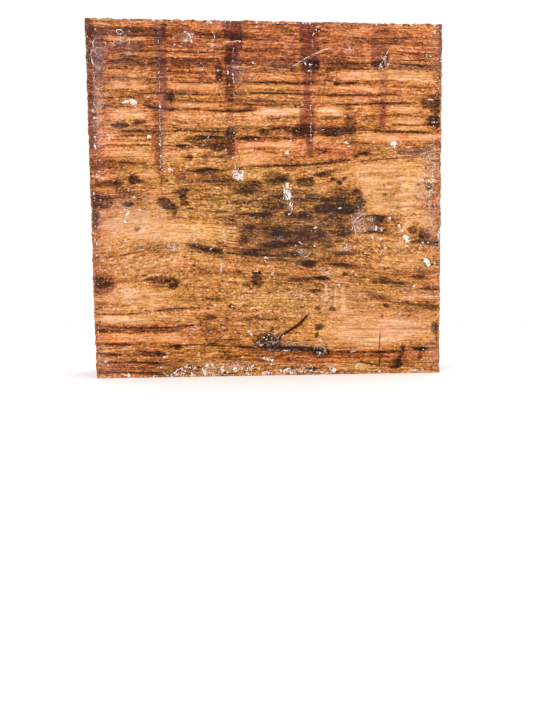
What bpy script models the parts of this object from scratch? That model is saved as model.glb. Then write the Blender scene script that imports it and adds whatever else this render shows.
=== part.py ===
"""A sawn block of chechen wood, roughed out for turning into a bowl, standing on one long edge.

The frame: the origin is the middle of the edge face that the block stands on, +Z is up, X runs along the
grain, and the broad face that is looked at faces -Y. Lengths are in metres.
"""

import bmesh
import bpy
from mathutils import Matrix, Vector, noise

# The block is sold as 8 by 8 by 3 inches and sawn a little full.
FACE_WIDTH = 0.2050
FACE_HEIGHT = 0.2040
THICKNESS = 0.0760

# The saw leaves no clean arris: each one is broken back by an uneven width on both of its faces.
ARRIS_STEP = 0.0030
WEAR_LEAST = 0.0004
WEAR_SPREAD = 0.0011
WEAR_WAVE = 0.0050

# Splintered places on the arrises: the middle of each, half its length, and how far it bites in.
CHIPS = (
    (Vector((-FACE_WIDTH / 2, -THICKNESS / 2, 0.094)), 0.0055, 0.0022),
    (Vector((FACE_WIDTH / 2, -THICKNESS / 2, 0.080)), 0.0050, 0.0024),
    (Vector((FACE_WIDTH / 2, -THICKNESS / 2, 0.183)), 0.0040, 0.0018),
    (Vector((-FACE_WIDTH / 2, -THICKNESS / 2, 0.004)), 0.0050, 0.0020),
    (Vector((0.024, -THICKNESS / 2, FACE_HEIGHT)), 0.0080, 0.0014),
    (Vector((-0.060, THICKNESS / 2, FACE_HEIGHT)), 0.0100, 0.0030),
    (Vector((FACE_WIDTH / 2, 0.012, FACE_HEIGHT)), 0.0060, 0.0026),
    (Vector((-FACE_WIDTH / 2, THICKNESS / 2, 0.141)), 0.0090, 0.0028),
    (Vector((FACE_WIDTH / 2, THICKNESS / 2, 0.047)), 0.0070, 0.0026),
    (Vector((0.070, THICKNESS / 2, 0.0)), 0.0080, 0.0022),
    (Vector((-FACE_WIDTH / 2, -0.020, 0.0)), 0.0050, 0.0018),
)

# A pin knot has dropped out low on the broad face, and a drying check runs up from it.
KNOT_PLACE = Vector((0.0000, -THICKNESS / 2, 0.0205))
KNOT_HALF_SIZE = Vector((0.0052, 0.0016, 0.0036))
CHECK_START = Vector((0.0045, -THICKNESS / 2, 0.0215))
CHECK_END = Vector((0.0235, -THICKNESS / 2, 0.0365))
CHECK_WIDTH = 0.0011
CHECK_DEPTH = 0.0020

WOOD_COLOUR = (0.42, 0.17, 0.05, 1.0)
WOOD_ROUGHNESS = 0.55


def clear_scene():
    for thing in list(bpy.data.objects):
        bpy.data.objects.remove(thing)


def chechen():
    """The heartwood: golden brown, under a thin coat of wax."""
    material = bpy.data.materials.new("chechen")
    material.use_nodes = True
    shader = material.node_tree.nodes["Principled BSDF"]
    shader.inputs["Base Color"].default_value = WOOD_COLOUR
    shader.inputs["Roughness"].default_value = WOOD_ROUGHNESS
    shader.inputs["Metallic"].default_value = 0.0
    material.diffuse_color = WOOD_COLOUR
    return material


def box_between(mesh, low, high):
    """Adds a box with these two corners to the mesh."""
    middle = (low + high) / 2
    size = Matrix.Diagonal((*(high - low), 1.0))
    return bmesh.ops.create_cube(mesh, size=1.0, matrix=Matrix.Translation(middle) @ size)


def split_arrises(mesh):
    """Cuts every edge of the box into steps, without cutting its faces."""
    for edge in list(mesh.edges):
        steps = round(edge.calc_length() / ARRIS_STEP)
        bmesh.ops.bisect_edges(mesh, edges=[edge], cuts=steps - 1)


def wear_at(point):
    """How far the saw and handling have broken the arris back at this point."""
    wave = 0.5 + 0.5 * noise.noise(point / WEAR_WAVE)
    wear = WEAR_LEAST + WEAR_SPREAD * wave
    for middle, half_length, bite in CHIPS:
        nearness = 1.0 - min(1.0, (point - middle).length / half_length)
        wear += bite * nearness * (2.0 - nearness)
    return wear


def break_arrises(mesh, low, high):
    """Chamfers the arrises, then slides each chamfer's corner within its own flat face by the wear there."""
    bmesh.ops.bevel(mesh, geom=list(mesh.edges), offset=WEAR_LEAST, segments=1, affect="EDGES")
    for corner in mesh.verts:
        place = corner.co.copy()
        wear = wear_at(place)
        for axis in range(3):
            for limit, inward in ((low[axis], 1.0), (high[axis], -1.0)):
                gap = abs(place[axis] - limit)
                if 0.5 * WEAR_LEAST < gap < 1.5 * WEAR_LEAST:
                    corner.co[axis] = limit + inward * wear


def sawn_block():
    """The block itself, with its arrises broken and its six faces left flat."""
    low = Vector((-FACE_WIDTH / 2, -THICKNESS / 2, 0.0))
    high = Vector((FACE_WIDTH / 2, THICKNESS / 2, FACE_HEIGHT))
    mesh = bmesh.new()
    box_between(mesh, low, high)
    split_arrises(mesh)
    break_arrises(mesh, low, high)
    bmesh.ops.recalc_face_normals(mesh, faces=mesh.faces)
    return finished("bowl_blank", mesh)


def knot_cutter():
    """A shallow oval lump, which leaves the pit of the lost knot."""
    mesh = bmesh.new()
    shape = Matrix.Translation(KNOT_PLACE) @ Matrix.Diagonal((*KNOT_HALF_SIZE, 1.0))
    bmesh.ops.create_icosphere(mesh, subdivisions=2, radius=1.0, matrix=shape)
    return cutter("knot_cutter", mesh)


def check_cutter():
    """A long wedge, which leaves the drying check: widest at the knot and closed at its far end."""
    along = CHECK_END - CHECK_START
    across = along.cross(Vector((0.0, 1.0, 0.0))).normalized()
    inward = Vector((0.0, CHECK_DEPTH, 0.0))
    outward = Vector((0.0, -CHECK_DEPTH, 0.0))
    mesh = bmesh.new()
    sections = []
    for share, width in ((0.0, 1.0), (0.5, 0.8), (1.0, 0.25)):
        middle = CHECK_START + along * share
        half = across * (CHECK_WIDTH / 2 * width)
        corners = (
            middle + outward + half * 2,
            middle + outward - half * 2,
            middle + inward * width,
        )
        sections.append([mesh.verts.new(corner) for corner in corners])
    for near, far in zip(sections, sections[1:]):
        for side in range(3):
            following = (side + 1) % 3
            mesh.faces.new((near[side], near[following], far[following], far[side]))
    mesh.faces.new(sections[0])
    mesh.faces.new(sections[-1])
    bmesh.ops.recalc_face_normals(mesh, faces=mesh.faces)
    return cutter("check_cutter", mesh)


def finished(name, mesh):
    """Turns the mesh into a named object in the scene."""
    data = bpy.data.meshes.new(name)
    mesh.to_mesh(data)
    mesh.free()
    thing = bpy.data.objects.new(name, data)
    bpy.context.scene.collection.objects.link(thing)
    return thing


def cutter(name, mesh):
    """An object that only cuts others and isn't part of the block."""
    thing = finished(name, mesh)
    thing.hide_render = True
    thing.display_type = "WIRE"
    return thing


def cut_from(thing, tool):
    modifier = thing.modifiers.new(tool.name, "BOOLEAN")
    modifier.operation = "DIFFERENCE"
    modifier.solver = "EXACT"
    modifier.object = tool


def main():
    clear_scene()
    block = sawn_block()
    block.data.materials.append(chechen())
    cut_from(block, knot_cutter())
    cut_from(block, check_cutter())


main()
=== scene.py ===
import itertools
import math
from types import SimpleNamespace

import bmesh
import bpy
import numpy as np
from mathutils import Matrix, Vector


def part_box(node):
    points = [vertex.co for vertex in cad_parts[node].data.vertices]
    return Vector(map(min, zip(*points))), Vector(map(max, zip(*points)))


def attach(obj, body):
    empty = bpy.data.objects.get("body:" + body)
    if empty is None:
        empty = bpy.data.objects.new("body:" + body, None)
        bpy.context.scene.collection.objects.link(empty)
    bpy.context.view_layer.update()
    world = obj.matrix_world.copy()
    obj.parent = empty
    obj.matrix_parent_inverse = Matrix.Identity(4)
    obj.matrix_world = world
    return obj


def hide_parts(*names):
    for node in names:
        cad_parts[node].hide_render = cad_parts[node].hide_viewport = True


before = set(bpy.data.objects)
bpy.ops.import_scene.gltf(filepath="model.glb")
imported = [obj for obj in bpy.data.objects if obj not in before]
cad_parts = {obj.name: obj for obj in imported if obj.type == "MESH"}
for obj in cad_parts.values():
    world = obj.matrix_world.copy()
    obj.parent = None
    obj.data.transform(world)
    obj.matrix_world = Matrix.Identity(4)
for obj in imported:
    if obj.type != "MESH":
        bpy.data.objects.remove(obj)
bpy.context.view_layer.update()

# The sawn block
# One piece of chechen cut square on a bandsaw and left rough, its pith just outside the back face.
# The saw has furred and broken its arrises, and a pin knot has dropped out low on the broad face.
# Its shape starts as an even grid that a tree of geometry nodes lays on the CAD solid's worn arrises.

MM = 0.001
block_low, block_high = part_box("bowl_blank")
WIDTH, THICKNESS, HEIGHT = block_high - block_low
HALF_WIDTH = WIDTH / 2 / MM
HALF_THICKNESS = THICKNESS / 2 / MM
FULL_HEIGHT = HEIGHT / MM

GRID_COLUMNS = 76
GRID_COURSES = 32
GRID_ROWS = 104
ARRIS_REACH = 3.2 * MM
ARRIS_WEAR = 0.12


def place(tree, kind, values=(), **settings):
    """A node of a tree. Its inputs, by number or by name, take a value or another node's socket."""
    made = tree.nodes.new(kind)
    for name, value in settings.items():
        setattr(made, name, value)
    for socket, value in dict(values).items():
        if isinstance(value, bpy.types.NodeSocket):
            tree.links.new(value, made.inputs[socket])
        else:
            made.inputs[socket].default_value = value
    return made


def worked(tree, operation, *terms):
    """What a Math node gives for values or sockets."""
    return place(tree, "ShaderNodeMath", enumerate(terms), operation=operation).outputs[0]


def position(tree):
    return place(tree, "GeometryNodeInputPosition").outputs[0]


def field_value(tree, name, kind="FLOAT"):
    return place(tree, "GeometryNodeInputNamedAttribute", {"Name": name}, data_type=kind).outputs[0]


def stored(tree, geometry, name, value, domain):
    """Geometry with one number more stored on each of its points or instances."""
    given = {"Geometry": geometry, "Name": name, "Value": value}
    made = place(tree, "GeometryNodeStoreNamedAttribute", given, data_type="FLOAT", domain=domain)
    return made.outputs[0]


def mesh_of(tree, thing):
    found = place(tree, "GeometryNodeObjectInfo", {"Object": thing}, transform_space="ORIGINAL")
    return found.outputs["Geometry"]


def new_tree(name, *inputs):
    """An empty geometry tree with named inputs, each of a name, a type and perhaps a default."""
    tree = bpy.data.node_groups.new(name, "GeometryNodeTree")
    for title, kind, *default in inputs:
        made = tree.interface.new_socket(title, in_out="INPUT", socket_type="NodeSocket" + kind)
        if default:
            made.default_value = default[0]
    tree.interface.new_socket("Geometry", in_out="OUTPUT", socket_type="NodeSocketGeometry")
    return tree, place(tree, "NodeGroupInput").outputs


def ended(tree, geometry, material):
    """The tree, ended in one plain mesh of one material."""
    real = place(tree, "GeometryNodeRealizeInstances", {0: geometry}).outputs[0]
    coated = place(tree, "GeometryNodeSetMaterial", {"Geometry": real, "Material": material})
    place(tree, "NodeGroupOutput", {0: coated.outputs[0]})
    return tree


def grown(name, tree, values, start=None):
    """An object whose plain mesh is what a geometry tree makes of a start mesh and the given inputs."""
    made = bpy.data.objects.new(name, start or bpy.data.meshes.new(name + "_start"))
    bpy.context.scene.collection.objects.link(made)
    modifier = made.modifiers.new(tree.name, "NODES")
    modifier.node_group = tree
    for socket in tree.interface.items_tree:
        if socket.name in values:
            modifier[socket.identifier] = values[socket.name]
    graph = bpy.context.evaluated_depsgraph_get()
    mesh = bpy.data.meshes.new_from_object(made.evaluated_get(graph), depsgraph=graph)
    made.modifiers.remove(modifier)
    made.data = mesh
    mesh.name = name
    return made


def grid_tree():
    """A box of even squares whose arrises are pulled onto the solid's worn ones."""
    tree, given = new_tree(
        "sawn_grid",
        ("Solid", "Object"),
        ("Size", "Vector"),
        ("Columns", "Int", 10),
        ("Courses", "Int", 10),
        ("Rows", "Int", 10),
        ("Arris Reach", "Float", 0.003),
        ("Wear", "Float", 1.0),
        ("Wood", "Material"),
    )
    corners = {
        "Vertices " + axis: worked(tree, "ADD", given[title], 1)
        for axis, title in (("X", "Columns"), ("Y", "Courses"), ("Z", "Rows"))
    }
    box = place(tree, "GeometryNodeMeshCube", {"Size": given["Size"], **corners})
    size = place(tree, "ShaderNodeSeparateXYZ", {0: given["Size"]}).outputs
    here = place(tree, "ShaderNodeSeparateXYZ", {0: position(tree)}).outputs
    sides_near = 0
    for side in range(3):
        half = worked(tree, "MULTIPLY", size[side], 0.5)
        gap = worked(tree, "SUBTRACT", half, worked(tree, "ABSOLUTE", here[side]))
        sides_near = worked(tree, "ADD", sides_near, worked(tree, "LESS_THAN", gap, given["Arris Reach"]))
    two_near = worked(tree, "GREATER_THAN", sides_near, 1.5)
    marked = stored(tree, box.outputs[0], "at_arris", two_near, "POINT")
    lift = place(tree, "ShaderNodeCombineXYZ", {2: worked(tree, "MULTIPLY", size[2], 0.5)}).outputs[0]
    stood = place(tree, "GeometryNodeSetPosition", {"Geometry": marked, "Offset": lift}).outputs[0]
    nearest = place(
        tree,
        "GeometryNodeProximity",
        {"Geometry": mesh_of(tree, given["Solid"])},
        target_element="FACES",
    )
    part_worn = place(
        tree,
        "ShaderNodeMix",
        {"Factor": given["Wear"], 4: position(tree), 5: nearest.outputs["Position"]},
        data_type="VECTOR",
    )
    at_arris = field_value(tree, "at_arris")
    moves = {"Geometry": stood, "Selection": at_arris, "Position": part_worn.outputs[1]}
    return ended(tree, place(tree, "GeometryNodeSetPosition", moves).outputs[0], given["Wood"])


def settle(made):
    """Presses flat whatever of a piece would go below the surface that the block stands on."""
    places = np.empty(len(made.data.vertices) * 3, np.float32)
    made.data.vertices.foreach_get("co", places)
    places[2::3] = np.maximum(places[2::3], 0.0)
    made.data.vertices.foreach_set("co", places)
    made.data.update()


chechen = bpy.data.materials.new("chechen")
block = grown(
    "sawn_block",
    grid_tree(),
    {
        "Solid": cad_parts["bowl_blank"],
        "Size": (WIDTH, THICKNESS, HEIGHT),
        "Columns": GRID_COLUMNS,
        "Courses": GRID_COURSES,
        "Rows": GRID_ROWS,
        "Arris Reach": ARRIS_REACH,
        "Wear": ARRIS_WEAR,
        "Wood": chechen,
    },
)

# The knot hole and the drying checks, in mm across the broad face from its middle and up from the base.
# Each check has a path, a half width and a depth.
KNOT_MIDDLE = (-0.5, 20.0)
KNOT_HALF_WIDTH = 6.0
KNOT_HALF_HEIGHT = 4.6
KNOT_DEPTH = 1.5
CHECK_RUN = ((3.0, 20.8), (9.5, 25.2), (17.0, 30.0), (20.5, 33.0), (23.6, 36.6))
CHECKS = (
    (CHECK_RUN, 0.50, 2.0),
    (((18.5, 31.2), (21.6, 35.6)), 0.30, 1.2),
    (((19.6, 32.0), (24.6, 34.2)), 0.28, 1.0),
    (((-8.0, 16.8), (3.0, 16.9), (12.0, 16.4), (20.0, 15.9)), 0.34, 0.9),
    (((-47.5, 77.3), (-40.0, 75.6), (-30.0, 73.4)), 0.40, 0.6),
    (((66.0, 25.0), (66.2, 13.0), (65.8, 2.0)), 0.30, 0.5),
)
REFINED_REACH = 1.4
FRONT_BAND = 1.6
SIDE_BAND = 1.2


def runs_of(path):
    """The length of each straight run of a path."""
    return [math.dist(a, b) for a, b in itertools.pairwise(path)]


def to_path(u, v, path):
    """Distance of each place from a path of straight runs, and how far along the path it is, 0 to 1."""
    runs = runs_of(path)
    nearest = np.full(len(u), np.inf)
    share = np.zeros(len(u))
    start = 0.0
    for (a, b), run in zip(itertools.pairwise(path), runs):
        du, dv = b[0] - a[0], b[1] - a[1]
        along = np.clip(((u - a[0]) * du + (v - a[1]) * dv) / run**2, 0, 1)
        gap = np.hypot(u - a[0] - along * du, v - a[1] - along * dv)
        closer = gap < nearest
        nearest = np.where(closer, gap, nearest)
        share = np.where(closer, (start + along * run) / sum(runs), share)
        start += run
    return nearest, share


def knot_gap(u, v):
    """How far out from the knot each place is, 1 at its rim."""
    return np.hypot((u - KNOT_MIDDLE[0]) / KNOT_HALF_WIDTH, (v - KNOT_MIDDLE[1]) / KNOT_HALF_HEIGHT)


def vertices_mm(mesh):
    """Every vertex of a mesh, in millimetres."""
    flat = np.empty(len(mesh.vertices) * 3, np.float32)
    mesh.vertices.foreach_get("co", flat)
    return flat.reshape(-1, 3).astype(float) / MM


def near_a_check(u, v, reach):
    near = knot_gap(u, v) < 1 + reach / KNOT_HALF_HEIGHT
    for path, half, depth in CHECKS:
        near |= to_path(u, v, path)[0] < half + reach
    return near


def front_faces(shape):
    return [f for f in shape.faces if f.normal.y < -0.7]


def cut_edges(shape, edges, cuts):
    bmesh.ops.subdivide_edges(shape, edges=list(edges), cuts=cuts, use_grid_fill=True)


def is_upright(edge):
    run = edge.verts[0].co - edge.verts[1].co
    return abs(run.z) > abs(run.x)


def refine(mesh):
    """Cuts the broad face into halves along the grain and quarters up it, and finer round the checks."""
    shape = bmesh.new()
    shape.from_mesh(mesh)
    cut_edges(shape, {e for f in front_faces(shape) for e in f.edges}, 1)
    cut_edges(shape, {e for f in front_faces(shape) for e in f.edges if is_upright(e)}, 1)
    front = front_faces(shape)
    middles = np.array([f.calc_center_median() for f in front]) / MM
    near = near_a_check(middles[:, 0], middles[:, 2], REFINED_REACH)
    cut_edges(shape, {e for f, chosen in zip(front, near) if chosen for e in f.edges}, 2)
    shape.to_mesh(mesh)
    shape.free()


refine(block.data)

# Numbers that turn the corners of a lattice into a long row of chance digits.
NOISE_TURNS = np.array((127.1, 311.7, 74.7))
NOISE_SPREAD = 43758.5453
SEED_STEP = 7.31


def drift(places, size, seed):
    """Smooth noise from -1 to 1 at each place, changing over about the given size."""
    cells = places / size + seed * SEED_STEP
    corner = np.floor(cells)
    share = cells - corner
    share = share * share * (3 - 2 * share)
    total = np.zeros(len(places))
    for step in itertools.product((0, 1), repeat=places.shape[1]):
        weight = np.prod(np.where(step, share, 1 - share), axis=1)
        digits = np.sin((corner + step) @ NOISE_TURNS[: places.shape[1]]) * NOISE_SPREAD
        total += weight * (digits - np.floor(digits))
    return 2 * total - 1


def ramp(value, low, high):
    """0 below low, 1 above high, and smooth between them. High may be the smaller one."""
    share = np.clip((value - low) / (high - low), 0, 1)
    return share * share * (3 - 2 * share)


def arris_gap(mm):
    """How far each place on the block's skin is from the nearest arris."""
    gaps = (
        HALF_WIDTH - abs(mm[:, 0]),
        HALF_THICKNESS - abs(mm[:, 1]),
        FULL_HEIGHT / 2 - abs(mm[:, 2] - FULL_HEIGHT / 2),
    )
    return np.sort(np.stack(gaps), axis=0)[1]


FUR_DEPTH = 0.55
FUR_REACH = 1.8
FUR_OUTWARDS = 0.55
SAW_DEPTH = 0.05
SAW_PITCH = 2.1
TEAR_DEPTH = 0.14
CHECK_CORE = 1.25


def relief(mesh):
    """Moves the skin by what the saw and the wood's drying have done to it."""
    mm = vertices_mm(mesh)
    normals = np.empty(len(mesh.vertices) * 3, np.float32)
    mesh.vertices.foreach_get("normal", normals)
    normals = normals.reshape(-1, 3).astype(float)
    u, v = mm[:, 0], mm[:, 2]
    saw = np.sin(u / SAW_PITCH * math.tau + 2.2 * drift(mm, 38.0, 3)) * (0.5 + 0.5 * drift(mm, 21.0, 4))
    torn = drift(mm * (0.25, 1, 1), 1.6, 5) * ramp(drift(mm * (0.4, 1, 1), 14.0, 6), 0.1, 0.7)
    ragged = 0.6 * drift(mm, 1.5, 7) + 0.5 * drift(mm, 3.7, 8)
    fur = ramp(arris_gap(mm), FUR_REACH, 0.2) * (ragged + FUR_OUTWARDS)
    out = SAW_DEPTH * saw + TEAR_DEPTH * torn + FUR_DEPTH * fur
    front = mm[:, 1] < FRONT_BAND - HALF_THICKNESS
    for path, half, depth in CHECKS:
        gap, share = to_path(u, v, path)
        width = half * np.sqrt(np.clip(4 * share * (1 - share), 0.02, 1))
        out -= front * depth * np.clip(CHECK_CORE - gap / width, 0, 1)
    hollow = ramp(knot_gap(u, v) + 0.25 * drift(mm, 1.9, 9), 1.0, 0.55)
    out -= front * KNOT_DEPTH * hollow * (0.8 + 0.5 * drift(mm, 1.1, 10))
    moved = (mm + normals * out[:, None]) * MM
    mesh.vertices.foreach_set("co", moved.astype(np.float32).ravel())
    mesh.update()


def smooth(mesh):
    mesh.polygons.foreach_set("use_smooth", [True] * len(mesh.polygons))


relief(block.data)
settle(block)
smooth(block.data)
block.data.set_sharp_from_angle(angle=math.radians(42))

# The figure of the broad face
# Markings are read off the face and laid on the mesh as soft fields; the wood's own noise then
# frays them in the material. Places are in mm across from the middle and up from the base.
# A streak has a path, a half width and a depth. A pool has a middle, a half length, a half height, an
# amount and, where it isn't level, a lean in degrees.

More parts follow.
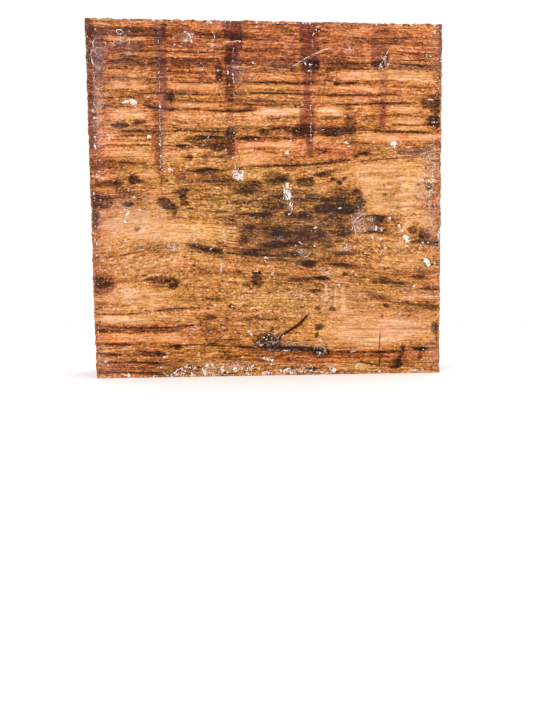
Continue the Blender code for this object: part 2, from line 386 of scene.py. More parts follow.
GROWTH_LINES = (
    # the fine lines below the top arris
    (((-112, 200.6), (-80, 200.2), (-60, 200.4)), 0.5, 0.4),
    (((-24, 200.4), (-10, 200.2), (16, 200.4)), 0.5, 0.55),
    (((-88, 195.2), (-70, 194.9), (-56, 195)), 0.5, 0.75),
    (((-40, 195.4), (-26, 195), (-14, 194.4), (0, 194), (14, 194.2)), 0.5, 0.5),
    (((34, 196), (56, 195.6), (74, 196), (90, 195.4)), 0.45, 0.6),
    (((58, 193), (72, 192.4), (84, 192.8)), 0.4, 0.45),
    (((-92, 191.8), (-60, 191.6), (-42, 191.6)), 0.5, 0.62), (((-90, 188.6), (-66, 188.4)), 0.3, 0.4),
    (((-14, 191.2), (4, 190.8), (18, 190.4)), 0.35, 0.4), (((74, 190.4), (102, 190.6)), 0.4, 0.4),
    (((-98, 187.2), (-80, 186.9), (-62, 186.6), (-30, 186.2), (-16, 186)), 0.5, 0.52),
    (((-14, 187.8), (4, 187.4), (20, 187.6)), 0.35, 0.42), (((0, 186), (20, 185.8)), 0.45, 0.48),
    (((33, 185.8), (46, 186), (60, 185.8)), 0.4, 0.42),
    (((75, 187.4), (84, 187.2), (90, 187.6), (99, 187.2)), 0.5, 0.6),
    (((-92, 183.4), (-60, 183.2), (-30, 183.2), (-14, 183.6)), 0.35, 0.48),
    (((-54, 181.8), (-30, 181.6), (0, 182), (18, 182)), 0.3, 0.36),
    (((30, 183.4), (44, 183.6), (60, 183.2)), 0.35, 0.42),
    (((72, 183.2), (84, 183.4), (98, 183.8)), 0.5, 0.9),
    (((-90, 180.6), (-64, 180), (-26, 180.4)), 0.35, 0.38),
    (((-92, 178.2), (-60, 178), (-30, 177.8)), 0.45, 0.48),
    (((-14, 179.6), (4, 179.4), (20, 179)), 0.6, 0.45),
    (((31, 180.6), (40, 181.2), (50, 181.4), (60, 181)), 0.45, 0.66),
    (((72, 181.4), (86, 180.8), (102, 180.4)), 0.5, 0.72), (((74, 179), (102, 178.4)), 0.45, 0.52),
    (((33, 176), (40, 177.6), (44, 180.2)), 0.8, 0.6), (((31, 178.2), (45, 178.6), (60, 178.4)), 0.6, 0.75),
    (((72, 177.6), (84, 175.6), (92, 175.2)), 0.4, 0.5),
    (((-62, 175.7), (-46, 175.6), (-30, 175.8)), 0.5, 0.78), (((-12, 175.6), (8, 175)), 0.4, 0.4),
    (((-98, 171.5), (-84, 172), (-70, 171.8), (-62, 171.4)), 0.5, 0.8),
    (((-56, 169.8), (-44, 169.6), (-28, 170)), 0.5, 0.78),
    # through the golden bands
    (((-14, 170), (0, 169.7), (20, 169.6), (33, 169.9)), 0.5, 0.85), (((38, 170.3), (42, 170.3)), 0.8, 1),
    (((42, 170.6), (50, 170.5), (54, 170.6)), 0.6, 0.85),
    (((78, 168.4), (90, 168), (112, 168.6)), 0.6, 0.5), (((-10, 165.8), (30, 165.4)), 0.35, 0.4),
    (((-96, 165.6), (-78, 165)), 0.4, 0.4),
    (((-82, 163.8), (-70, 163.2), (-60, 163.4), (-36, 162.8), (-24, 163)), 0.55, 0.85),
    (((-22, 163.6), (0, 164), (30, 163.6), (56, 163.8), (80, 163.9)), 0.5, 0.95),
    (((80, 164.2), (112, 163.6)), 0.4, 0.5), (((-112, 161.4), (-86, 160.8), (-76, 161.2)), 0.5, 0.5),
    (((-50, 161), (-30, 160.8)), 0.35, 0.4),
    (((-56, 159.4), (-44, 159), (-28, 159.2), (0, 159.4), (18, 159.8)), 0.6, 0.6),
    (((-24, 157.8), (-10, 157.6), (0, 157.2), (12, 158), (28, 158)), 0.7, 0.66),
    (((36, 158.4), (60, 158.6), (80, 159.2), (90, 158.8)), 0.8, 0.85),
    (((89, 158.8), (92, 156.2), (90, 153)), 0.6, 0.6),
    (((-112, 156.6), (-94, 156.2), (-84, 156.8)), 0.6, 0.6),
    (((-72, 157), (-66, 155.4), (-58, 154.4), (-50, 154.8)), 0.8, 0.9),
    (((-52, 154.8), (-40, 154.6), (-28, 153.8), (-14, 154), (0, 155.2)), 0.5, 0.92),
    (((-4, 149.2), (10, 150.4), (20, 151), (30, 150.8)), 0.9, 0.6), (((30, 151.6), (45, 151.5)), 0.5, 0.5),
    (((46, 151.6), (60, 151.6), (78, 152.2), (90, 152.6)), 0.5, 0.78),
    (((-58, 148.4), (-46, 148)), 0.35, 0.45), (((53, 149), (66, 147.4)), 0.35, 0.4),
    (((71, 147.6), (84, 146.4), (96, 146.8)), 0.5, 0.74), (((0, 143.4), (8, 144.4), (16, 145)), 1, 0.88),
    (((54, 143.8), (66, 142.9), (80, 142.6), (101, 142.2)), 0.9, 0.85),
    (((-90, 141.9), (-80, 142.2), (-66, 142.4), (-58, 141.8)), 0.5, 0.9),
    (((-58, 141.8), (-50, 142.8), (-40, 142), (-30, 142.2), (-22, 141.4)), 0.5, 0.85),
    (((-86, 139.8), (-76, 139.4), (-66, 139.8)), 0.5, 0.78),
    (((-44, 139.4), (-34, 139.2), (-24, 139.4)), 0.5, 0.7),
    (((-20, 138.2), (-8, 138.6), (0, 139), (10, 138.4), (20, 138.4)), 0.9, 0.85),
    (((-100, 133), (-90, 134.6), (-76, 134.4), (-66, 134.2)), 0.4, 0.6),
    (((-64, 133.8), (-54, 134.2), (-46, 133.6)), 0.4, 0.5), (((42, 137), (50, 137), (56, 136.4)), 0.8, 0.7),
    (((54, 136.4), (64, 135.8), (72, 135.6)), 0.5, 0.62),
    (((-9, 132.6), (-2, 132.6), (2, 132.8)), 0.8, 0.85),
    (((27, 133.4), (31, 132.2), (36, 130.6)), 1.1, 0.75),
    (((80, 131), (92, 131.4), (99, 132.8)), 0.7, 0.45),
    (((-42, 128.8), (-32, 128.4), (-24, 127.2)), 0.5, 0.62),
    (((-98, 125.8), (-84, 124.8), (-76, 124), (-64, 123)), 0.4, 0.5),
    (((-86, 124.9), (-81, 124.4), (-76, 124)), 0.7, 0.8),
    (((-112, 122.6), (-90, 122), (-80, 120.8)), 0.8, 0.5),
    (((53, 143.6), (58, 143.4), (64, 143)), 0.8, 0.6), (((28, 150.4), (42, 151.2), (54, 151.6)), 0.5, 0.6),
    # the long dark line that lifts to the right over the tan patch
    (((-20, 121.8), (-8, 122.8), (4, 123), (16, 123.2), (28, 124), (38, 124.8), (48, 125.4)), 0.9, 0.95),
    (((36, 126.2), (44, 125.8), (50, 127.2)), 0.7, 0.7),
    (((50, 125.2), (60, 126.2), (72, 127.4), (90, 127.8)), 0.5, 0.78),
    (((50, 127.4), (53, 129.6), (58, 131.2), (61, 129.4)), 0.7, 0.6),
    (((70, 120.4), (84, 120.8)), 0.3, 0.35),
    # across the stained middle
    (((-50, 120.8), (-42, 119.4), (-34, 121.2), (-26, 120.2), (-20, 119.6)), 0.7, 0.75),
    (((-46, 113.4), (-30, 114.4), (-12, 113.2)), 0.6, 0.45),
    (((26, 118.2), (34, 119.2), (42, 120.4)), 0.8, 0.72), (((14, 114.8), (28, 116)), 0.6, 0.55),
    (((-38, 105.6), (-24, 106.4), (-8, 108.2), (10, 107.4)), 0.6, 0.5),
    (((-1, 105.4), (6, 105.2), (10, 105.4)), 0.8, 0.9), (((-24, 101.4), (-12, 102.6), (0, 103)), 0.6, 0.6),
    (((-36, 96.4), (-28, 97), (-22, 96.4)), 0.5, 0.75), (((-22, 95.4), (-8, 95), (4, 95.8)), 0.9, 0.72),
    (((-36, 94.6), (-28, 93.2), (-22, 92), (-14, 90.8)), 0.5, 0.65),
    (((-56, 94.2), (-50, 93.2), (-42, 93.4)), 0.4, 0.62), (((-16, 88), (-4, 86.8), (10, 87.4)), 0.8, 0.6),
    (((12, 86.4), (24, 87.2), (40, 87.6)), 0.8, 0.6),
    (((-8, 84.4), (12, 84), (30, 85.8), (48, 84)), 0.8, 0.5),
    (((54, 84.4), (62, 84.6), (70, 83.6)), 0.6, 0.74),
    (((56, 93.8), (62, 94.4), (70, 93), (75, 90.4), (79, 87.2)), 0.5, 0.75),
    (((82, 78.8), (92, 78.4), (112, 77)), 2.2, 1), (((2, 77.6), (12, 78.2), (20, 78.2)), 1.1, 0.72),
    # the black streak left of the middle and what runs on from it
    (((-49, 77.2), (-43, 76.4), (-37, 75.2), (-31, 74), (-26, 72.8)), 2.2, 1.3),
    (((-28, 73.6), (-20, 72.2), (-10, 71.6), (0, 71.2), (10, 70.6)), 0.8, 0.85),
    (((-24, 75), (-12, 74.6), (0, 74)), 0.7, 0.7),
    (((30, 66.2), (40, 65.6), (52, 64.8), (66, 61.8)), 0.7, 0.55),
    (((-12, 70), (4, 68.4), (22, 67.4), (36, 68.2)), 0.7, 0.5),
    (((-11, 61.2), (-8, 61.2), (-4, 61.2)), 0.8, 1.1), (((-4, 61.2), (8, 61), (16, 60.6)), 0.4, 0.6),
    (((25, 58.2), (31, 57.6), (37, 57)), 0.9, 1), (((-46, 63.8), (-38, 63), (-30, 62.2)), 0.6, 0.6),
    (((-44, 61.2), (-36, 60.8), (-26, 61.8), (-14, 62.4)), 0.5, 0.55),
    # the swelling lines on the pale left side
    (((-98, 70.2), (-86, 71.6), (-78, 73.4), (-70, 75.6)), 0.7, 0.8),
    (((-90, 80.4), (-80, 80.6), (-70, 79.2), (-62, 77.4)), 0.5, 0.42),
    (((-70, 67.4), (-64, 70.4), (-60, 72.4)), 0.4, 0.5), (((-64, 86), (-54, 85), (-44, 84.8)), 0.4, 0.55),
    (((-64, 83.2), (-60, 84.6)), 0.6, 0.5),
    # the lower half
    (((-40, 53.4), (-35, 52.6), (-32, 51.2)), 0.7, 0.8), (((-31, 54.2), (-26, 54)), 0.5, 0.66),
    (((-22, 49.4), (-12, 49), (6, 48.2)), 0.4, 0.5), (((66, 52.2), (76, 52), (86, 51.6)), 0.5, 0.6),
    (((88, 51), (96, 50.4), (112, 50.2)), 1, 1), (((56, 49.6), (64, 46.6), (72, 44)), 1, 0.38),
    (((70, 43.6), (80, 42.2), (90, 40.8), (112, 39)), 1, 0.5),
    (((-112, 37.6), (-90, 37.4), (-80, 37.8), (-70, 39)), 0.55, 0.88),
    (((-72, 38.8), (-60, 40.2), (-50, 40.6), (-38, 40.8)), 0.55, 0.86),
    (((-102, 43.8), (-94, 43.6), (-86, 44)), 0.35, 0.5), (((-112, 35.6), (-96, 35.4)), 0.4, 0.5),
    (((-26, 33.4), (-12, 33.8), (-2, 33.2), (12, 33.6), (20, 34.4)), 0.6, 0.5),
    (((-112, 30.8), (-88, 30), (-74, 29.6), (-60, 29.6), (-46, 30.4), (-34, 31.6)), 0.6, 1),
    (((-112, 27.7), (-94, 27.6), (-84, 27.8)), 0.7, 1),
    (((-84, 28.2), (-68, 27.8), (-52, 27.2)), 0.8, 0.75),
    (((36, 28), (60, 27.2), (80, 26.8), (101, 27.2)), 0.45, 0.64),
    (((-112, 20.4), (-92, 20.2), (-80, 20), (-74, 19.6)), 0.6, 0.8),
    (((-72, 19.4), (-60, 18.8), (-46, 18.8), (-30, 18.2), (-16, 17.2)), 0.5, 0.88),
    (((-22, 17.6), (-12, 16.8), (-6, 16.4)), 0.9, 1),
    (((-3, 16.9), (8, 16.5), (18, 16), (28, 15.2), (38, 14.2)), 2.2, 1.25),
    (((34, 14), (50, 13.4), (62, 13), (74, 12.8), (82, 13.4)), 1.1, 1.1),
    (((82, 13.6), (88, 14.6), (96, 15.2), (112, 14.4)), 0.8, 0.6),
    (((-112, 15), (-96, 14.4), (-86, 13.6)), 1, 1), (((-80, 15.8), (-74, 15.4), (-68, 14.8)), 0.8, 0.85),
    (((-88, 13), (-76, 13.6), (-66, 13)), 0.8, 0.85), (((-84, 10.4), (-78, 9.6)), 0.7, 0.9),
    (((-112, 9.8), (-84, 9.4), (-70, 8.8), (-58, 8.4)), 0.7, 0.9),
    (((-34, 12.6), (-20, 12), (-8, 12.6)), 0.5, 0.55),
    (((50, 9.8), (54, 7.6), (62, 6), (72, 4.2), (80, 3.4)), 0.5, 0.8),
    (((4, 9.8), (16, 8.4), (28, 7.6), (44, 7.2)), 0.5, 0.5), (((0, 5.6), (12, 5), (24, 5.6)), 0.6, 0.5),
    (((-112, 3.2), (-90, 3.4), (-76, 2.8), (-60, 3)), 0.9, 0.9),
    (((-76, 1.6), (-56, 1.2), (-40, 1.2)), 1.2, 0.95),
    (((-28, 1), (0, 0.8), (30, 0.9), (70, 0.8), (100, 1)), 0.5, 0.8),
    (((-100, 6.4), (-84, 6.2), (-66, 5.6)), 0.6, 0.55),
    # scratches and marks across the grain
    (((66.1, 28), (66.2, 14), (65.8, 0)), 0.35, 0.85), (((66.6, 36.4), (66.5, 32)), 0.5, 0.85),
    (((66.8, 81.6), (67.2, 72), (67, 63)), 0.5, 0.95),
    (((80.6, 18.4), (79.9, 14), (78.6, 9), (76.6, 5)), 1.5, 1.1),
    (CHECK_RUN, 0.7, 1.2),
)

STAINS = (
    # near the top arris
    (29.6, 200.4, 0.9, 0.9, 1.2), (70.6, 185.6, 1.5, 3.6, 0.85), (-96, 184, 2.8, 7, 0.42),
    (67.6, 181.8, 2.2, 3, 0.95), (63.6, 180.6, 4, 3, 0.75), (27.2, 180.4, 4, 4, 1),
    (24.4, 179.4, 4.4, 2.4, 0.95),
    # the golden bands
    (-27.8, 174, 2.7, 4.8, 0.85), (48.6, 170.6, 4.6, 0.8, 0.8), (40.4, 170.5, 2.6, 1.1, 0.9),
    (101, 163, 2.2, 4, 0.7), (-55.6, 161, 3.4, 1.8, 1.25), (97.2, 160, 6.4, 4.4, 1.3, 6),
    (47, 157, 2.4, 2.6, 0.55), (98.6, 155, 3.6, 2, 1.1), (98.6, 150.6, 4, 2.4, 1.3),
    (49, 148.4, 4.4, 4, 0.8),
    # above the tan patch
    (99, 147.2, 4.2, 1.9, 1.3), (-74.5, 147, 5.4, 2, 0.9), (-85.4, 145.4, 4.6, 1.5, 1.3),
    (-69, 144.6, 3.8, 1.2, 0.66), (49, 143.2, 5, 2.6, 0.95), (21, 142.6, 7.4, 4, 1.3),
    (-2, 142.4, 5, 2.4, 1), (36, 142.4, 9.4, 3.3, 1.1, -3), (-22, 140.2, 3.4, 5, 0.72),
    (-12, 138.4, 7, 1.6, 0.9), (-31, 137.8, 9, 1.8, 1.5), (-40, 137.2, 8, 2.5, 1.6, -4),
    (-34, 136, 13, 3.6, 1.1, -4), (-49, 134, 5.6, 1.3, 1.1, -8), (-28.6, 133.8, 6, 2, 1.5),
    (88, 131.6, 8, 2.2, 0.5), (79, 131.4, 2.6, 1.5, 0.95), (56.4, 130.4, 4.2, 1.7, 0.75, -14),
    (47, 129.4, 4, 1.1, 0.5), (-26, 128.6, 3, 2, 0.6), (51.8, 128.6, 2.6, 1.5, 0.85, 30),
    (-46.2, 127.6, 3.4, 2.1, 1, 14), (-36, 119.4, 9, 3.2, 0.85), (34, 117.6, 7, 1.8, 0.8),
    (5, 115.8, 9, 4.2, 1), (45.4, 115.8, 2, 1.3, 1.35, 30), (39.4, 115.4, 1.6, 1.1, 1.3),
    (-30, 115, 18, 5, 0.62, -4), (-77.2, 114.8, 3.6, 2.6, 1.5), (-73.6, 113.6, 4, 1.3, 0.8),
    (21.5, 113.4, 7, 3, 1), (42, 113.2, 1.7, 1.2, 1.4), (-92, 112.6, 8, 2.2, 1.2, 4),
    (-8, 112.6, 6, 2.6, 0.85, -10), (89, 112, 2.2, 1.2, 0.7),
    # the stained middle
    (95.4, 110.6, 2.8, 2, 1, 20), (-14, 110, 12, 5, 0.62), (-50.4, 108.6, 5.2, 2, 1.1, 8),
    (43, 108, 9, 4.6, 0.62), (-80.6, 107.6, 2.2, 3.4, 0.5), (-94, 107.4, 8, 1.6, 0.5),
    (52.6, 107, 3.6, 4.4, 0.9), (-49.8, 105.2, 2.6, 2.4, 1.2), (-90, 104.6, 5, 1.6, 0.6),
    (18, 104.6, 16, 5.4, 0.8), (-26, 104, 12, 2, 0.5), (33.4, 103.8, 4.6, 2.1, 1.1),
    (-75.6, 103.6, 2.2, 0.9, 0.95), (40, 103.6, 13, 4, 0.75), (-97, 102.4, 7, 4, 1.5),
    (-59.6, 101.4, 4.8, 3.5, 1.5, -24), (-48.4, 101.4, 3.4, 1.7, 1.2, 14), (53.4, 101.2, 3.4, 3.7, 1.3),
    (-81.6, 100.8, 4, 1.6, 1), (4, 100, 12, 5, 0.7), (-56.4, 99, 3.8, 1.9, 1.1),
    (-46.4, 98.6, 2.6, 0.9, 0.7), (44.5, 98.6, 8.6, 3.4, 1.25), (33, 98.2, 7, 3.2, 1.25),
    (-55, 95.9, 1.7, 1.6, 1.1), (46.5, 95.8, 4.4, 1.8, 0.95), (12.4, 95.6, 2.6, 1.6, 1),
    (-101, 95, 3, 3.6, 1.15), (-4, 94.4, 10, 3, 0.8), (20, 94, 18, 4.6, 0.6), (62.6, 92.4, 2.6, 2, 1.15),
    (66.4, 92, 2.2, 2.2, 1.15), (101.4, 92, 1.8, 3.4, 0.8), (39, 90.6, 13, 6, 0.62),
    (-101.4, 89, 2.6, 3, 1.1), (64, 88, 7, 4.8, 0.5),
    # level with the black streak
    (-76.8, 86.9, 2.2, 1.4, 1.5), (70, 85.6, 2.6, 1.4, 0.6), (85.6, 85.6, 2.8, 2.3, 1.3),
    (-12, 85, 6, 7, 0.66), (8, 84.6, 16, 5, 0.48), (44, 84.6, 7, 4, 0.8), (62, 84.4, 8, 1.4, 0.5),
    (92.6, 83.4, 3.6, 3, 1.35), (26, 83, 16, 5.6, 0.64), (-15, 80, 5, 4, 0.85), (101, 79, 3, 3.8, 1),
    (2, 77, 12, 2.6, 0.75), (36, 77, 6, 2, 0.6), (-10, 73.4, 12, 2.4, 0.68, 4), (14, 71.6, 10, 2.2, 0.72),
    (44, 71.6, 11, 2.2, 0.7, 4), (24, 66, 4.6, 2.6, 1), (43, 64.8, 13, 2, 0.6, -6),
    (-36, 61.6, 8, 1.8, 0.5), (92, 61, 8, 1.8, 0.45), (45, 60, 1.4, 1.1, 1.5), (76, 59.2, 4, 1, 0.66),
    (55, 58, 5, 1.6, 0.55), (89.6, 58, 6.6, 1.8, 0.75), (31, 57.8, 5, 1.2, 0.9),
    (-63.6, 57.2, 8, 2.2, 1.35), (20, 57.2, 10, 1.8, 0.72), (-86, 57, 5.6, 1.4, 0.5),
    (-56.4, 56.6, 4.4, 1.4, 0.95), (-7.4, 56.4, 3.8, 4, 1.05), (67, 55.6, 8, 2.4, 0.95),
    (-97.4, 54.8, 7.4, 5.4, 1.2), (78, 54.2, 8, 1.9, 0.66), (-57, 54, 4.4, 2.8, 0.8, 14),
    (-14, 53.8, 4.4, 1.6, 0.66), (-66, 53.6, 6, 1.8, 0.62), (11, 51, 4.4, 1.2, 0.5),
    (27.4, 50.2, 4.8, 1.4, 0.95, 6),
    # the foot and the knot
    (-32, 46.2, 8, 2.2, 0.66), (64, 45.4, 9, 2.6, 0.35, -14), (-15.6, 42, 1.6, 0.9, 0.75),
    (-23, 41.8, 1.5, 1.4, 1.1), (70.4, 40.6, 2.3, 1.6, 0.95), (-100.8, 40.4, 1.5, 0.8, 1),
    (19.4, 40.4, 1.2, 1.1, 1.15), (28, 40, 2.1, 1.5, 1), (-21.2, 39.8, 1.3, 0.9, 1),
    (36.8, 39.4, 2, 1.5, 1.2), (97.6, 39.2, 7, 1.8, 0.5, -4), (9.6, 38.8, 2, 1.4, 0.55),
    (84, 37.6, 12, 1.8, 0.42, -3), (-35, 34.8, 6.6, 3, 0.65, 10), (20, 29.6, 1.2, 1.2, 0.6),
    (29.4, 28.8, 3.3, 1.9, 1.2, 25), (101, 27.2, 3.4, 4.2, 1.3), (0.5, 27, 1.6, 3, 0.8),
    (92.4, 25, 1.1, 0.5, 0.8), (28.6, 24.2, 1.5, 2.3, 1.2), (94.6, 23.4, 0.9, 0.7, 0.9),
    (87, 22.6, 1, 0.7, 0.9), (101.4, 21, 1.6, 3, 0.8), (-84.6, 20.6, 1, 0.9, 0.8),
    (91.4, 20.2, 1.2, 0.6, 0.9), (-0.5, 20, 7.6, 5.6, 1.15), (97.4, 19.4, 1.2, 0.8, 0.85),
    (86.2, 18.6, 1, 0.6, 0.8), (-55, 17.8, 2.4, 2.2, 0.5), (90.2, 14.4, 4.2, 1.7, 0.9),
    (-65.4, 14.2, 3.4, 1.9, 1.1, -24), (31, 12.6, 5, 2.8, 1.35), (89.8, 10, 2.2, 2.8, 0.8),
    (-53, 9.6, 4, 2.6, 0.5), (-48, 6.2, 2.6, 0.9, 1), (76, 5.8, 3.8, 3.4, 1.2), (-42, 5.4, 2, 0.8, 0.9),
    (10, 4.4, 6, 0.8, 0.85), (26, 3.6, 5, 0.9, 0.85), (-12, 2.4, 5, 0.8, 0.9), (-26, 2, 5, 0.9, 0.9),
)

# Where the stain has gone from brown to blue black.
INK_SPOTS = (
    # near the top arris
    (29.6, 200.4, 1, 1, 1), (67.6, 181.8, 3, 4, 0.4), (27.8, 180, 3, 4, 0.8), (24.4, 179.4, 4, 2.4, 0.7),
    # the golden bands
    (-28, 173.4, 2.2, 2.8, 0.5), (40.4, 170.5, 2.4, 1, 0.5), (-55.8, 161, 2.6, 1.4, 0.7),
    (98, 160, 5, 4, 0.25), (99, 149, 4, 3, 0.4),
    # above the tan patch
    (21, 142.6, 6, 3.4, 0.35), (-21.8, 140, 3, 4.4, 0.25), (-38, 137.2, 9, 2.2, 0.45, -4),
    (-28, 133.6, 5, 1.6, 0.45),
    # the stained middle
    (33, 103.6, 3, 1.1, 0.8), (-60, 101.4, 4, 3, 0.25, 20), (54, 101.4, 2.6, 2.2, 0.9),
    (44, 99, 6, 1.8, 0.9), (33, 98, 5, 1.8, 1), (12.4, 95.6, 2.4, 1.5, 0.9), (-101.2, 92.6, 2.8, 6, 1.3),
    # level with the black streak
    (-76.9, 86.8, 1.7, 1, 0.9), (101, 79, 3, 3.4, 0.9), (-38, 75.4, 12, 2.4, 0.35, -12),
    (-8, 61.2, 2.2, 1, 0.9), (31, 57.8, 5, 1.2, 0.25), (27.4, 50.2, 4.8, 1.4, 0.4),
    # the foot and the knot
    (31.4, 30.4, 1, 0.8, 0.8), (26.8, 30.2, 0.8, 0.7, 0.8), (29, 28.4, 2.6, 1.7, 1, 20),
    (13, 28, 14, 2, 0.8, 34), (101, 27, 2.4, 3, 0.9), (28.5, 23.8, 1.1, 1.7, 0.9), (-1, 20, 7.4, 6.4, 0.6),
    (14, 16.2, 18, 2.4, 0.6, -3), (-65, 14.4, 3, 1.6, 0.8, -24), (30.6, 12.6, 3.2, 2, 0.9),
)

# How pale or dark the ground of the wood is, from its middle gold.
TONES = (
    # near the top arris
    (0, 202, 118, 2, -0.04), (-51, 198, 7, 4, -0.05), (52, 196, 16, 4, 0.09), (0, 190, 118, 15, -0.055),
    (-96, 189, 6, 5, 0.06), (-51, 189, 7, 4, -0.04), (-36, 189, 9, 5, -0.07), (-21, 189, 6, 5, -0.06),
    (-7, 189, 8, 5, -0.09), (51, 189, 7, 5, -0.04), (101.4, 188, 3, 16, -0.04), (46, 187, 16, 6, -0.06),
    (86, 187, 16, 8, 0.06), (-70, 186, 34, 14, -0.03), (3, 185, 15, 7, -0.04), (-96, 182, 5, 15, -0.1),
    (-20.5, 180, 4, 9, -0.04), (-81, 179, 7, 4, -0.04), (81, 178, 9, 4, 0.03), (52, 175.2, 8, 2.6, 0.06),
    # the golden bands
    (-81, 168, 10, 4, -0.05), (-22, 168, 5, 5, -0.07), (-6, 168, 8, 4, -0.06), (81, 168, 7, 5, 0.05),
    (-42, 167.5, 13, 2.6, -0.03), (-55.8, 161, 2.8, 1.6, -0.18), (-95, 158, 7, 4, -0.06),
    (-67, 158, 8, 4, -0.08), (-7, 158, 7, 4, 0.05), (-41, 151.4, 16, 3, 0.09), (101.4, 150, 3.2, 60, -0.07),
    (80, 149.2, 16, 1.4, 0.12), (81, 149, 7, 4, 0.06), (38, 148, 7, 5, -0.08), (51, 148, 6, 5, 0.06),
    (82, 148, 11, 5, 0.11),
    # above the tan patch
    (34, 143, 18, 3, 0.04), (21.5, 142.2, 6, 3, -0.12), (40, 141.5, 7, 2.4, -0.08),
    (-37, 141.4, 7, 1.6, 0.05), (78, 139, 20, 2.6, 0.03), (-39, 138, 9, 4, 0.07), (68, 138, 5, 5, 0.05),
    (-41, 136.5, 8, 2.6, 0.05), (-36, 136.4, 9, 1.6, -0.05), (10, 134.8, 10, 2.4, 0.12),
    (42, 132.8, 12, 2, 0.06), (-40, 131.4, 4.6, 1.2, 0.26), (88, 131, 11, 2.6, -0.08),
    (-66, 128, 7, 4.6, 0.06), (-38, 128, 8, 4, -0.07), (-23, 128, 7, 5, -0.07), (-8, 128, 12, 4.2, 0.2),
    (-52, 126, 9, 4.6, 0.08), (-34, 125.8, 10, 2.6, 0.05), (-88, 123.6, 18, 3.2, -0.15),
    (70, 122.6, 24, 3, 0.14, 3), (97, 121, 5, 9, -0.04), (-68, 118.6, 9, 3.4, 0.16), (-6, 118, 9, 5, 0.13),
    (-51, 117, 7, 4, -0.05), (-37, 117, 7, 3, 0.04), (-37, 117, 10, 4.4, 0.11), (21, 117, 9, 4, -0.08, 8),
    (74, 113, 24, 12, 0.05), (12, 112, 16, 9, -0.01),
    # the stained middle
    (-26, 110, 26, 10, -0.06), (-81, 107, 7, 4, -0.05), (-81, 107, 9, 4.6, -0.11), (-67, 107, 7, 4.6, 0.05),
    (-37, 107, 9, 4.6, -0.08), (-7, 107, 9, 4.6, -0.07), (21, 107, 9, 5, 0.1), (95, 106, 7, 8, -0.1),
    (-97, 102.4, 6, 3.6, -0.06), (-59, 101, 5, 3.2, -0.06, -20), (-101, 100, 3.6, 112, -0.1),
    (38, 98, 20, 12, -0.03), (39, 98, 11, 3.2, -0.06), (66, 98, 9, 5, 0.06), (-37, 97, 7, 4, 0.05),
    (7, 97, 7, 5, -0.07), (-78, 92, 30, 9, 0.095), (93, 91.5, 7, 5, 0.12), (67, 89, 11, 5, -0.12),
    (37, 88, 9, 5, 0.07), (81, 88, 7, 4, 0.07),
    # level with the black streak
    (-36, 87, 14, 5, 0.12), (20, 86, 46, 20, -0.12), (-60, 83, 44, 8, 0.13), (8, 82, 22, 9, -0.07),
    (10, 81, 20, 10, -0.07), (-67, 76.4, 12, 3.2, -0.15), (-96, 76, 8, 5, 0.04), (-81, 76, 9, 5, -0.06),
    (22, 76, 9, 5, -0.07), (37, 76, 7, 4, -0.05), (72, 75, 26, 8, 0.07), (95, 74, 7, 5, 0.05),
    (-84, 68, 26, 7, 0.06), (-52, 68, 14, 4, 0.05), (76, 67, 26, 5, 0.07), (-96, 66, 8, 5, -0.1),
    (-51, 66, 7, 4, -0.05), (22, 66, 9, 4.4, -0.1), (94, 60, 10, 5, -0.08), (101.4, 60, 3.2, 50, -0.02),
    (66, 57, 9, 4.4, 0.07), (-37, 56, 10, 5, 0.11), (7, 56, 9, 5, -0.11), (22, 56, 8, 5, -0.09),
    (-97, 55, 7, 5.5, -0.07), (-57, 54.6, 5, 3.4, -0.1),
    # the foot and the knot
    (-76, 47, 26, 6, 0.18), (-8, 46, 9, 5, 0.07), (7, 46, 7, 5, 0.06), (88, 46, 14, 2.4, 0.1),
    (-20, 44, 30, 8, -0.03), (28, 43, 30, 8, 0.03), (10, 42, 18, 6, 0.04), (82, 37, 10, 4.2, -0.1, -6),
    (-95, 36, 10, 4.4, 0.12), (-80, 36, 9, 4.4, 0.06), (-52, 36, 9, 4.6, 0.09), (-84, 34.6, 22, 3, 0.12),
    (66, 30, 42, 10, 0.15), (-38, 26.4, 9, 3.6, -0.13), (22, 26, 10, 5, -0.03), (-37, 25, 7, 4, -0.05),
    (-80, 24, 18, 3, -0.03), (-24, 24, 17, 6.4, -0.07), (-34, 23.4, 22, 2.6, -0.03), (14, 23, 10, 5, 0.03),
    (60, 22, 38, 6, 0.13), (64, 17, 10, 4, 0.08), (-101, 15, 3.6, 16, 0.07), (-95, 15, 7, 4.4, 0.05),
    (-6, 14.6, 9, 4.4, -0.17), (-22, 14, 9, 4.2, -0.09), (52, 10, 18, 3, 0.03), (-5, 7, 36, 4, 0.04),
    (-80, 6, 26, 6, -0.07), (-66, 5, 9, 4, -0.08), (-52, 5, 9, 4, -0.1), (-51, 5, 7, 4, -0.05),
    (-7, 5, 9, 4, -0.07), (-28, 3.5, 30, 3, -0.1), (18, 3, 22, 2.4, -0.07),
)

